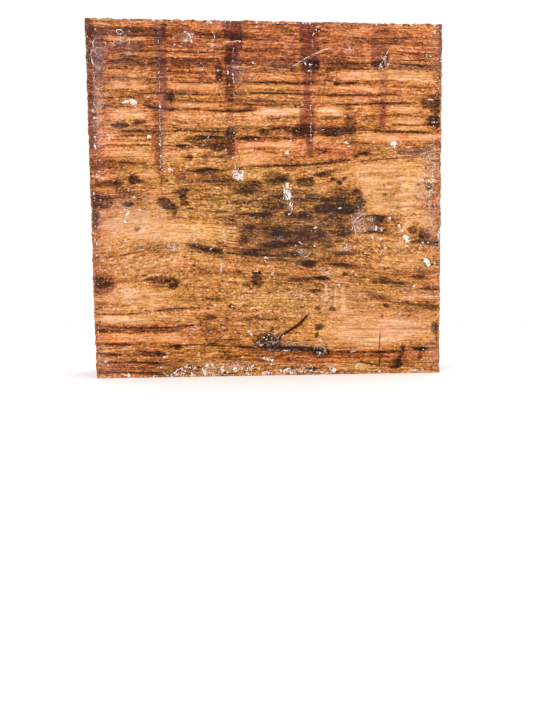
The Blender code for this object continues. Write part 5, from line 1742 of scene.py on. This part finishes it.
FLECKS = (
    (4.6, 22.6, 1.2, 0.3, 5, 30), (7.6, 23.6, 1.6, 0.3, 6, 20), (-3.6, 22.6, 0.8, 0.3, 4),
    (-6, 18, 0.9, 0.3, 4), (2.6, 25, 0.8, 0.3, 3), (1, 22.6, 1, 0.3, 4, 80), (-97, 0.8, 3.6, 0.3, 9),
    (-88.5, 0.7, 3.2, 0.3, 7), (-76, 0.7, 3.4, 0.3, 6), (-46, 0.9, 3.4, 0.3, 9), (-33, 0.9, 3, 0.3, 8),
    (-12, 0.8, 3.4, 0.3, 8), (14, 0.8, 4, 0.3, 8), (24, 0.8, 4, 0.3, 8), (34, 0.9, 3, 0.3, 6),
    (80, 0.8, 3, 0.3, 5), (97, 0.9, 3, 0.3, 5), (-15.4, 192.9, 0.7, 0.4, 3), (29.6, 201.6, 0.9, 0.4, 4),
    (28.6, 200, 0.6, 0.5, 3, 84), (30.6, 199.4, 0.5, 0.4, 2), (22.2, 180.8, 0.8, 0.5, 4),
    (25.2, 180.4, 0.8, 0.6, 4), (97, 161.4, 3.2, 0.4, 5), (98.6, 148.4, 1.8, 0.4, 4),
    (-22.4, 41.4, 1.2, 0.4, 4), (-80.6, 158.4, 3.6, 1, 28, 20), (-76.8, 158.2, 2.2, 1.5, 22, -14),
    (-75.8, 156.4, 1.2, 0.5, 5, 70), (-45, 196.8, 1.6, 0.6, 4, -40), (-44.2, 194.6, 1.8, 0.6, 4, 60),
    (-46.4, 193, 1.5, 0.5, 4, 30), (-43.2, 192.4, 1, 0.5, 4, 80), (-46.4, 197.8, 0.8, 0.5, 3),
    (-42.2, 196.4, 1, 0.4, 3, 70), (-32.5, 203, 2, 0.9, 8), (-52.5, 190.5, 0.6, 0.5, 2),
    (-49.5, 190, 0.5, 0.4, 2), (-86, 153.6, 0.8, 0.5, 4), (-45, 157.4, 0.6, 0.5, 3),
    (-36.4, 148.6, 0.9, 0.5, 4, -40), (-91, 138.6, 1.6, 0.6, 9, 84), (-68.3, 139.2, 1.5, 0.9, 14, -10),
    (-37.8, 134.6, 0.9, 0.6, 4), (-56.6, 120.5, 1.6, 0.7, 7, -12), (-99.3, 133, 1.3, 0.8, 7, 84),
    (-99, 138.6, 0.7, 0.6, 3), (-98.6, 149.6, 0.9, 0.6, 4), (-99.6, 153.2, 0.9, 0.8, 5),
    (-98.9, 157, 1.2, 0.5, 4, 84), (-34.5, 139, 1.1, 0.2, 3, 70), (-24.6, 132.4, 0.9, 0.6, 4, 80),
    (-17.2, 117.6, 4.1, 3.3, 34, -20), (-17.4, 117.4, 2.4, 1.9, 4), (-19, 121.5, 2.2, 0.5, 5, 110),
    (-20.2, 127.6, 0.8, 0.6, 3), (-98, 117, 0.9, 0.6, 3), (-81, 110, 2, 0.4, 5, 84),
    (-78, 105, 0.8, 0.6, 3), (-8, 181, 1.5, 0.5, 4, 84), (-7, 138, 0.5, 0.4, 2), (-10, 132, 0.5, 0.4, 2),
    (17.5, 156.5, 0.6, 0.5, 2), (20.5, 157.5, 0.5, 0.4, 2), (14.5, 146, 0.6, 0.4, 2),
    (11, 130.6, 1.9, 1.3, 10), (14, 128, 0.6, 0.5, 2), (10.8, 111.4, 2.6, 1.1, 20, 96),
    (11.6, 106.2, 3, 1.7, 30, 84), (9.4, 108, 1.4, 0.5, 5, 100), (12.8, 100.6, 1.7, 0.8, 8, 100),
    (13.4, 97.8, 1.2, 0.5, 5, 60), (12, 95.6, 1.1, 0.6, 5, 70), (46, 136.4, 1.7, 0.7, 9, -16),
    (47.6, 134.4, 0.8, 0.7, 6), (74, 135.6, 2.2, 1.6, 24, 60), (75, 134, 0.9, 0.7, 4),
    (13, 137.5, 0.6, 0.5, 2), (3.5, 119.5, 0.6, 0.5, 2), (79, 130.5, 0.5, 0.4, 2),
    (95.5, 129, 1.3, 0.5, 5, 80), (98, 121, 0.8, 0.6, 3), (91, 115, 1.4, 0.7, 5, 20),
    (94.6, 114.6, 1.4, 0.6, 5, -10), (97.4, 113.6, 1.4, 0.8, 6, 30), (97, 109, 1, 0.7, 4),
    (96, 106, 0.9, 0.6, 3), (92, 122, 0.6, 0.5, 2), (78, 106.5, 0.6, 0.5, 2), (42, 98.6, 0.9, 0.6, 5),
    (71.8, 92.4, 1.4, 1, 9, 70), (77.6, 88.2, 1.1, 0.8, 9, 84), (79.4, 85.4, 1, 0.8, 8),
    (77.5, 84.5, 0.6, 0.4, 2), (82.2, 80.4, 2.8, 2, 22, -36), (80.8, 81.6, 1.4, 1, 9, -30),
    (64, 87, 1.7, 0.8, 14, 84), (67.2, 86.2, 1.5, 0.5, 8, 76), (61.8, 81.8, 1, 0.8, 7),
    (66.3, 80.6, 1.1, 0.8, 8), (67.6, 73.4, 0.8, 0.6, 4), (70, 75.2, 0.9, 0.6, 5),
    (27.6, 87.2, 1.3, 0.5, 6), (44.6, 74.8, 0.8, 0.5, 3, 40), (46.4, 77.4, 0.6, 0.4, 2),
    (27, 77, 1.4, 0.5, 4, 84), (94.6, 66.6, 3.3, 1.5, 40, -62), (100, 66, 0.8, 0.6, 3),
    (92, 78, 0.7, 0.5, 3), (95, 78.5, 0.6, 0.5, 2), (101.6, 82.4, 2.4, 0.9, 10, 84),
    (1.4, 60.4, 1.2, 0.9, 8), (35.5, 59, 0.6, 0.4, 2), (42, 53.5, 2, 0.5, 5), (13, 49.5, 0.6, 0.4, 2),
    (86.8, 52.4, 0.9, 0.7, 5), (-8, 61.7, 1.6, 0.5, 5), (-2, 69, 1.4, 1.3, 8, 30),
    (-82, 95.4, 1.5, 0.9, 8, 20), (-85.8, 96, 0.6, 0.6, 3), (-83.4, 98, 0.6, 0.5, 3),
    (-81, 96.8, 0.5, 0.5, 2), (-83.5, 91, 1, 0.8, 6), (-90, 84.6, 1.6, 0.5, 5, 10),
    (-66.4, 82.2, 0.6, 0.5, 3), (-83.4, 80.4, 0.9, 0.6, 5, 40), (-83, 70.6, 1, 0.7, 5, 60),
    (-96.8, 68.8, 1.2, 0.5, 5, 70), (-43.6, 80.4, 0.9, 0.6, 5, 40), (-34.2, 75.2, 0.6, 0.5, 3),
    (-74.6, 97.8, 0.8, 0.6, 4), (-43, 66.5, 0.6, 0.5, 2), (-38, 64.5, 0.6, 0.4, 2), (-21, 66, 0.5, 0.4, 2),
    (-82, 44, 0.7, 0.5, 3), (-84, 50, 0.5, 0.4, 2), (-55.5, 30.5, 1, 0.6, 4, 30), (-29, 33.5, 0.7, 0.5, 3),
    (-28, 29.5, 0.6, 0.4, 2), (-12, 26, 2.4, 0.8, 12, -54), (-43, 12.5, 0.9, 0.5, 4),
    (-62.5, 12, 1.5, 0.8, 6), (30, 20.5, 0.7, 0.5, 3), (29.8, 13, 0.8, 0.8, 5), (33, 14, 1, 0.6, 4, 20),
    (50, 13.7, 1.8, 0.4, 5, 24), (9.6, 14.8, 2.8, 0.3, 14), (30, 20.3, 1.2, 0.5, 5, -20),
    (98, 200, 0.9, 0.7, 4), (102, 184, 1.2, 0.6, 4, 84), (93.5, 186.5, 0.6, 0.5, 2), (96, 186, 0.6, 0.5, 2),
    (99, 172, 0.8, 0.6, 3), (66.4, 181, 1.4, 0.4, 3, 60), (69, 184.6, 1.6, 0.4, 3, 60),
    (70.6, 188, 1.2, 0.4, 3, 70), (-56, 1.8, 3.6, 0.7, 14, 6), (-51.6, 2.6, 2, 0.8, 12, 40),
    (-50, 6.2, 0.9, 0.9, 7), (-45.4, 5.6, 1.7, 0.6, 9, -30), (-39.2, 2.4, 2.9, 0.9, 34, -62),
    (-37.6, 6.8, 1.6, 0.6, 9, 40), (-34.2, 6.6, 1.2, 0.8, 9, -60), (-28.6, 3.6, 2.2, 0.8, 18, 80),
    (-24.8, 2.2, 1.4, 0.6, 7), (-21, 4.4, 1.9, 0.8, 18, 30), (-17.6, 4.6, 1.4, 0.6, 8, -40),
    (-14.4, 2.4, 1.6, 0.6, 8, 60), (-11.2, 5.6, 1.9, 0.6, 10, 30), (-7.2, 4, 1.2, 0.6, 6, 70),
    (-3, 1.6, 2.6, 1.1, 20), (-2, 10, 2.6, 0.7, 16, -16), (5.6, 2.2, 1.4, 0.8, 9, 40),
    (10, 3.4, 2.4, 0.9, 18, 20), (13, 1.6, 1.6, 0.6, 8), (19, 1.8, 2, 0.5, 7), (25, 2.6, 1.8, 0.5, 7, 20),
    (31, 1.6, 1.8, 0.5, 6), (38, 2.6, 1.8, 1.3, 24, -60), (52, 4.6, 1.2, 0.6, 5), (66, 1.4, 1.4, 0.7, 7),
    (87, 1.8, 2.6, 0.8, 12), (92, 1.6, 1.4, 0.7, 6, 20), (1, 9.2, 0.9, 1.1, 8), (0.6, 6.6, 0.7, 0.6, 3),
    (-83.6, 1.6, 0.9, 1.3, 8), (-69, 0.8, 1.8, 0.6, 8), (-64.6, 6, 2.4, 0.3, 6), (-60, 1, 2.2, 0.5, 8),
    (-97, 9.8, 2.6, 0.4, 4), (-86, 1.6, 1.6, 0.8, 6), (-22.6, 175.6, 2.2, 0.45, 6, 86),
    (-21.8, 168.6, 0.7, 0.4, 2), (-28, 176.4, 0.9, 0.8, 3), (-27.4, 171.4, 0.8, 0.5, 2),
    (27.2, 197.4, 1.3, 0.5, 4, 70), (24.6, 176.8, 0.8, 0.6, 3), (-2, 21.6, 0.5, 0.4, 2, 20),
    (1.4, 19, 0.6, 0.4, 2), (-4.6, 18.6, 0.5, 0.4, 2), (-1, 24.4, 0.5, 0.4, 2),
)
FLECK_CROWDING = 0.95


def in_oval(chance, middle, half_length, half_height, lean, crowding=1.0):
    """A chance place in a leaned oval, and how far out in it that is."""
    out = math.sqrt(chance.random()) * crowding
    angle = chance.uniform(0, math.tau)
    along, over = out * math.cos(angle) * half_length, out * math.sin(angle) * half_height
    u = middle[0] + along * math.cos(lean) - over * math.sin(lean)
    v = middle[1] + along * math.sin(lean) + over * math.cos(lean)
    return u, v, out


def fleck_places(marks, seed):
    """Where the lumps of each fleck sit, crowded to its middle, with their sizes and turns."""
    chance = np.random.default_rng(seed)
    places, sizes, turns = [], [], []
    for middle_u, middle_v, half_length, half_height, count, *lean in marks:
        turn = math.radians(sum(lean))
        for number in range(count):
            middle = (middle_u, middle_v)
            u, v, out = in_oval(chance, middle, half_length, half_height, turn, FLECK_CROWDING)
            size = (0.23 + 0.30 * min(half_height, 1.5) * chance.random()) * (1.25 - 0.6 * out)
            places.append(on_skin(u, v, 0.04))
            stretch = chance.uniform(1.0, 2.0)
            sizes.append((size * stretch * MM, size * 0.7 * MM, size / math.sqrt(stretch) * MM))
            turns.append((0.0, -turn + chance.normal(0, 0.6), 0.0))
    return places, sizes, turns


lumps("wax_flecks", fleck_places(FLECKS, 33), 0.45 * MM, 1700, (0.0, 0.5))

# Wax on the other sides
# The same sealer dried on the back, the top and the two ends, as small flecks, thicker towards the
# arrises, and a few splashes. How it lies there isn't seen, so chance lays it, with fixed seeds.

# Each side has its half width, its lowest and highest place, and how many flecks and splashes.
SIDE_WAX = (
    ("back", HALF_WIDTH, 0.0, FULL_HEIGHT, 90, 8),
    ("right", HALF_THICKNESS, 0.0, FULL_HEIGHT, 44, 4),
    ("left", HALF_THICKNESS, 0.0, FULL_HEIGHT, 44, 4),
    ("top", HALF_WIDTH, -HALF_THICKNESS, HALF_THICKNESS, 36, 3),
)
SIDE_MARGIN = 2.5
# The half length, the half height and the lumps of a splash and of a fleck.
SIDE_SPLASH = (3.2, 1.3, 26)
SIDE_FLECK = (0.9, 0.5, 4)
TO_THE_ARRISES = 0.7


def on_side(side, u, v, turn):
    """A place on a side, from its mm across and up, and the turn of a lump that lies flat there."""
    if side == "top":
        return (u * MM, v * MM, FULL_HEIGHT * MM), (math.radians(90), 0.0, turn)
    if side == "back":
        return (u * MM, HALF_THICKNESS * MM, v * MM), (0.0, -turn, 0.0)
    end = HALF_WIDTH if side == "right" else -HALF_WIDTH
    return (end * MM, u * MM, v * MM), (0.0, -turn, math.radians(90))


def side_wax_places(sides, seed):
    """Where the lumps lie on each side, with their sizes and turns."""
    chance = np.random.default_rng(seed)
    places, sizes, turns = [], [], []
    for side, half, low, high, flecks, splashes in sides:
        for wide, tall, count in [SIDE_SPLASH] * splashes + [SIDE_FLECK] * flecks:
            middle_u = (half - SIDE_MARGIN) * (1 - 2 * chance.beta(TO_THE_ARRISES, TO_THE_ARRISES))
            spread = (high - low - 2 * SIDE_MARGIN) * chance.beta(TO_THE_ARRISES, TO_THE_ARRISES)
            middle_v = low + SIDE_MARGIN + spread
            lean = chance.uniform(0, math.tau)
            for lump in range(int(count * chance.uniform(0.5, 1.5))):
                u, v, out = in_oval(chance, (middle_u, middle_v), wide, tall, lean)
                spot, turn = on_side(side, u, v, lean + chance.normal(0, 0.6))
                size = (0.20 + 0.30 * tall * chance.random()) * (1.25 - 0.6 * out)
                places.append(spot)
                sizes.append((size * 1.4 * MM, size * 0.6 * MM, size * 0.8 * MM))
                turns.append(turn)
    return places, sizes, turns


lumps("side_wax", side_wax_places(SIDE_WAX, 61), 0.4 * MM, 1700, (0.0, 0.5))

# Curled threads of wax
# Where the scraper lifted the sealer it rolled up into thin curls and threads that dried on the wood.
# Each has a path in mm on the broad face and a thickness. Nodes bend them a little and make tubes.

CURLS = (
    (((-47, 191.8), (-45.2, 193.6), (-45.6, 195.6), (-43.6, 196.4), (-42.4, 198.2)), 0.15),
    (((-48, 192.8), (-45.2, 193.2), (-42.6, 194.8), (-42, 196.6)), 0.13),
    (((-84.6, 195.9), (-85.2, 197.2), (-84.2, 198.3), (-82.6, 197.7), (-80.8, 196.3), (-79.4, 194)), 0.2),
    (((-84.8, 196.4), (-83.4, 195.6), (-82.4, 196.2)), 0.18),
    (((-24, 192.3), (-20, 192.6), (-15.6, 193.2)), 0.13),
    (((-38.4, 181.2), (-36.8, 179.6), (-36.8, 177.4), (-38.2, 176.4)), 0.2),
    (((-31, 198.4), (-30.2, 196), (-29.8, 193.8)), 0.22), (((65, 178.4), (67.4, 182), (70.6, 188.8)), 0.13),
    (((66, 186), (68.8, 183.4), (71, 180)), 0.12), (((70.8, 186.4), (71.4, 183), (70.6, 179.4)), 0.12),
    (((49.6, 95.6), (49.2, 91.8), (50.8, 88), (51.6, 83)), 0.15),
    (((50.2, 89.8), (52.2, 92.4), (55, 94.6), (57.6, 95.2)), 0.15),
    (((50.6, 89.4), (53.6, 90.8), (56.4, 93), (57.8, 95)), 0.15),
    (((16, 74), (18, 72.4), (20, 70.2), (23, 71), (24.4, 73)), 0.22), (((18, 79), (19.5, 77.6)), 0.26),
    (((18.2, 79.2), (17.8, 77.8)), 0.18), (((27, 76), (27.3, 79)), 0.2),
    (((-28.9, 61.4), (-28.6, 65), (-28.9, 69)), 0.16), (((-28, 61), (-27.9, 64.6)), 0.14),
    (((-59.2, 72.4), (-59, 77)), 0.18), (((-55.7, 73.4), (-55.4, 77.8)), 0.18),
    (((-57.4, 1.6), (-55, 4.4), (-52, 5.6)), 0.26), (((-40.4, 0.8), (-39.6, 3), (-37.6, 5)), 0.44),
    (((-38.8, 7.6), (-36, 8.2), (-33.6, 6.4)), 0.3), (((-31, 1.8), (-29.8, 4.6), (-27.4, 6.8)), 0.3),
    (((-22.8, 2.4), (-21.2, 4.2)), 0.34), (((-20.6, 4.8), (-18, 4.2), (-16, 6)), 0.28),
    (((-13, 2.6), (-10.4, 6)), 0.26), (((-6, 10.6), (-3.4, 9.8), (-0.6, 9)), 0.3),
    (((8, 112.8), (9.6, 109), (9, 105.4)), 0.26), (((13.6, 112), (12.8, 108.6), (14, 104.8)), 0.22),
    (((13.6, 102), (14.4, 98.4), (12.8, 95.4)), 0.22),
    (((89.4, 115), (93, 114.2), (95.8, 115.4), (100.6, 114.4)), 0.24),
    (((90, 129.4), (93, 130.8), (96.6, 131.8)), 0.18), (((93.4, 112.4), (96, 110), (95.4, 107)), 0.2),
    (((97.6, 104.4), (95.6, 101.4), (96.4, 98.2)), 0.18),
    (((-96.6, 194.4), (-98.4, 191.6), (-98.9, 188.6), (-100, 184.4), (-99.2, 180.6), (-98.6, 177.6)), 0.2),
    (((-99, 176.2), (-98.4, 172.6), (-99, 169), (-97.6, 166), (-96, 164.8)), 0.2),
    (((-98, 165.2), (-94.6, 165.8), (-93.2, 167.4)), 0.14), (((49, 13), (50.6, 13.8), (52.2, 14.6)), 0.18),
)

# Where short threads lie in a tangle: middle, half width, half height, how many and how thick.
TANGLES = (
    (-60, 2, 7, 1.6, 9, 0.2), (-49, 4, 5, 2.4, 10, 0.26), (-36, 4, 5, 3.6, 9, 0.24),
    (-24, 4, 6, 3, 10, 0.24), (-10, 4, 5, 3, 7, 0.2), (6, 3, 7, 2, 10, 0.18), (22, 2.4, 8, 1.6, 7, 0.18),
    (37.4, 2.8, 1.4, 1.8, 5, 0.3), (89, 1.8, 4, 1, 5, 0.18), (-42.5, 12.2, 1.2, 0.8, 3, 0.2),
    (-46, 28, 2.4, 1.2, 4, 0.14), (30, 14.2, 4, 1.8, 5, 0.18), (12, 19.6, 7, 1.4, 5, 0.14),
    (11, 108, 2, 4, 6, 0.2), (53, 90, 4, 6.6, 14, 0.13), (63, 88, 4, 3, 5, 0.15),
    (45.6, 76, 2.4, 2.6, 6, 0.14), (20, 74, 4, 3, 5, 0.13), (95, 106, 5, 6, 8, 0.15),
    (95, 122, 4, 6, 5, 0.15), (-96, 184, 3, 14, 9, 0.15), (-83, 194, 5, 4, 5, 0.15),
    (68, 184, 3, 5, 3, 0.15), (-45, 194, 3, 3, 4, 0.16), (-17, 118, 4, 3, 8, 0.18),
    (-27, 81, 3, 3, 4, 0.13), (100.6, 80, 1.2, 4, 4, 0.18), (-98, 118, 2, 3, 4, 0.18),
)
LOWEST_THREAD = 0.5
THREAD_LIFT = 0.12
TUBE_SIDES = 6


def tangled(marks, seed):
    """Short wandering paths at random in each tangle, with their thicknesses."""
    chance = np.random.default_rng(seed)
    curls = []
    for middle_u, middle_v, half_width, half_height, count, thick in marks:
        for number in range(count):
            u = middle_u + chance.uniform(-1, 1) * half_width
            v = middle_v + chance.uniform(-1, 1) * half_height
            heading = chance.uniform(0, math.tau)
            path = [(u, max(v, LOWEST_THREAD))]
            for step in range(chance.integers(2, 5)):
                heading += chance.normal(0, 1.1)
                stride = chance.uniform(0.4, 1.1)
                u += stride * math.cos(heading)
                v += stride * math.sin(heading)
                path.append((u, max(v, LOWEST_THREAD)))
            curls.append((tuple(path), thick * chance.uniform(0.7, 1.15)))
    return tuple(curls)


def thread_width(tree):
    """The width of a thread: its own, swollen and thinned by noise, and drawn out at both ends."""
    noise = place(tree, "ShaderNodeTexNoise", {"Vector": position(tree), "Scale": 800.0, "Detail": 2.0})
    ends = {"From Min": 0.38, "From Max": 0.64, "To Min": 0.02, "To Max": 1.25}
    swell = place(tree, "ShaderNodeMapRange", {"Value": noise.outputs[0], **ends})
    thick = worked(tree, "MULTIPLY", swell.outputs[0], field_value(tree, "thick"))
    along = place(tree, "GeometryNodeSplineParameter").outputs["Factor"]
    inwards = worked(tree, "MULTIPLY", along, worked(tree, "SUBTRACT", 1.0, along))
    drawn = worked(tree, "ADD", worked(tree, "MULTIPLY", inwards, 8.0), 0.15)
    return worked(tree, "MULTIPLY", thick, worked(tree, "MINIMUM", drawn, 1.0))


def thread_tree():
    """Tubes along the loose edges of a mesh, bent and thinned by noise, as thick as their points say."""
    tree, given = new_tree(
        "wax_threads",
        ("Paths", "Geometry"),
        ("Step", "Float", 0.0005),
        ("Bend", "Float", 0.0004),
        ("Sides", "Int", 6),
        ("Wax", "Material"),
    )
    curve = place(tree, "GeometryNodeMeshToCurve", {"Mesh": given["Paths"]}).outputs[0]
    rounded = place(tree, "GeometryNodeCurveSplineType", {"Curve": curve}, spline_type="CATMULL_ROM")
    steps = {"Curve": rounded.outputs[0], "Length": given["Step"]}
    even = place(tree, "GeometryNodeResampleCurve", steps, mode="LENGTH").outputs[0]
    bent = shaken(tree, even, 620.0, 3.0, 0.7, given["Bend"])
    thick = thread_width(tree)
    sized = place(tree, "GeometryNodeSetCurveRadius", {"Curve": bent, "Radius": thick}).outputs[0]
    ring = place(tree, "GeometryNodeCurvePrimitiveCircle", {"Resolution": given["Sides"], "Radius": 1.0})
    parts = {"Curve": sized, "Profile Curve": ring.outputs[0], "Scale": thick, "Fill Caps": True}
    tube = place(tree, "GeometryNodeCurveToMesh", parts)
    return ended(tree, tube.outputs[0], given["Wax"])


def threads_of_wax(name, marks):
    paths = [[on_skin(u, v, THREAD_LIFT) for u, v in path] for path, thick in marks]
    start = start_mesh(name + "_paths", paths)
    write_field(start, "thick", [thick * MM for path, thick in marks for spot in path])
    values = {"Step": 0.4 * MM, "Bend": 1.9 * MM, "Sides": TUBE_SIDES, "Wax": wax}
    made = grown(name, thread_tree(), values, start)
    smooth(made.data)
    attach(made, "root")


threads_of_wax("wax_threads", CURLS + tangled(TANGLES, 41))

# The floor and the light of the studio
# A wide pale sheet that the block stands on, a white room round it, soft light from above and three
# large soft lamps, each with a place, the place it points at, a size and a power.

FLOOR_HALF_SIZE = 4.0
FLOOR_COLOUR = (0.86, 0.855, 0.845, 1.0)
ROOM_LIGHT = 0.72
OVERHEAD_LIGHT = 1.35
OVERHEAD_SPREAD = 100
BLOCK_MIDDLE = (0, 0, 0.1)
LAMPS = (
    ("key", (-0.9, -1.5, 1.3), BLOCK_MIDDLE, 1.2, 16),
    ("fill", (1.5, -0.9, 0.8), BLOCK_MIDDLE, 1.4, 7),
    ("back", (0.6, 1.7, 1.2), BLOCK_MIDDLE, 1.4, 12),
)


def in_scene(name, data):
    """A new object of the scene."""
    made = bpy.data.objects.new(name, data)
    bpy.context.scene.collection.objects.link(made)
    return made


def make_floor():
    mesh = bpy.data.meshes.new("floor")
    signs = ((-1, -1), (1, -1), (1, 1), (-1, 1))
    corners = [(x * FLOOR_HALF_SIZE, y * FLOOR_HALF_SIZE, 0) for x, y in signs]
    mesh.from_pydata(corners, [], [(0, 1, 2, 3)])
    paper = bpy.data.materials.new("pale_paper")
    paper.use_nodes = True
    shader = paper.node_tree.nodes["Principled BSDF"]
    shader.inputs["Base Color"].default_value = FLOOR_COLOUR
    shader.inputs["Roughness"].default_value = 0.9
    mesh.materials.append(paper)
    in_scene("floor", mesh)


def make_lamp(name, position, aim, size, power):
    light = bpy.data.lights.new(name, "AREA")
    light.shape = "DISK"
    light.size = size
    light.energy = power
    lamp = in_scene(name, light)
    lamp.location = position
    lamp.rotation_euler = (Vector(aim) - Vector(position)).to_track_quat("-Z", "Y").to_euler()


def make_overhead():
    light = bpy.data.lights.new("overhead", "SUN")
    light.energy = OVERHEAD_LIGHT
    light.angle = math.radians(OVERHEAD_SPREAD)
    in_scene("overhead", light)


def make_room():
    """A room that is white to the camera and dimmer as a light."""
    world = bpy.data.worlds.new("white_room")
    bpy.context.scene.world = world
    world.use_nodes = True
    tree = world.node_tree
    tree.nodes.clear()
    seen = place(tree, "ShaderNodeBackground", {"Color": (1, 1, 1, 1), "Strength": 1.0}).outputs[0]
    lit = place(tree, "ShaderNodeBackground", {"Color": (1, 1, 1, 1), "Strength": ROOM_LIGHT}).outputs[0]
    to_camera = place(tree, "ShaderNodeLightPath").outputs["Is Camera Ray"]
    both = place(tree, "ShaderNodeMixShader", {0: to_camera, 1: lit, 2: seen})
    place(tree, "ShaderNodeOutputWorld", {"Surface": both.outputs[0]})


make_floor()
make_room()
make_overhead()
for lamp in LAMPS:
    make_lamp(*lamp)

# The camera stands where the photograph's own perspective puts it: low and close, square to the face.
CAMERA_PLACE = (-0.0193, -0.3580, 0.0328)
CAMERA_RIGHT = (0.99848, -0.05372, -0.01203)
CAMERA_UP = (0.01547, 0.06403, 0.99783)
CAMERA_LENS = 27.24
CAMERA_FILM = 36
CAMERA_NEAREST = 0.01


def make_camera():
    right = Vector(CAMERA_RIGHT).normalized()
    up = Vector(CAMERA_UP)
    up = (up - right * up.dot(right)).normalized()
    back = right.cross(up)
    data = bpy.data.cameras.new("camera")
    data.lens = CAMERA_LENS
    data.sensor_width = CAMERA_FILM
    data.clip_start = CAMERA_NEAREST
    camera = in_scene("camera", data)
    camera.matrix_world = Matrix.Translation(CAMERA_PLACE) @ Matrix((right, up, back)).transposed().to_4x4()
    bpy.context.scene.camera = camera


make_camera()
bpy.context.scene.view_settings.view_transform = "Standard"
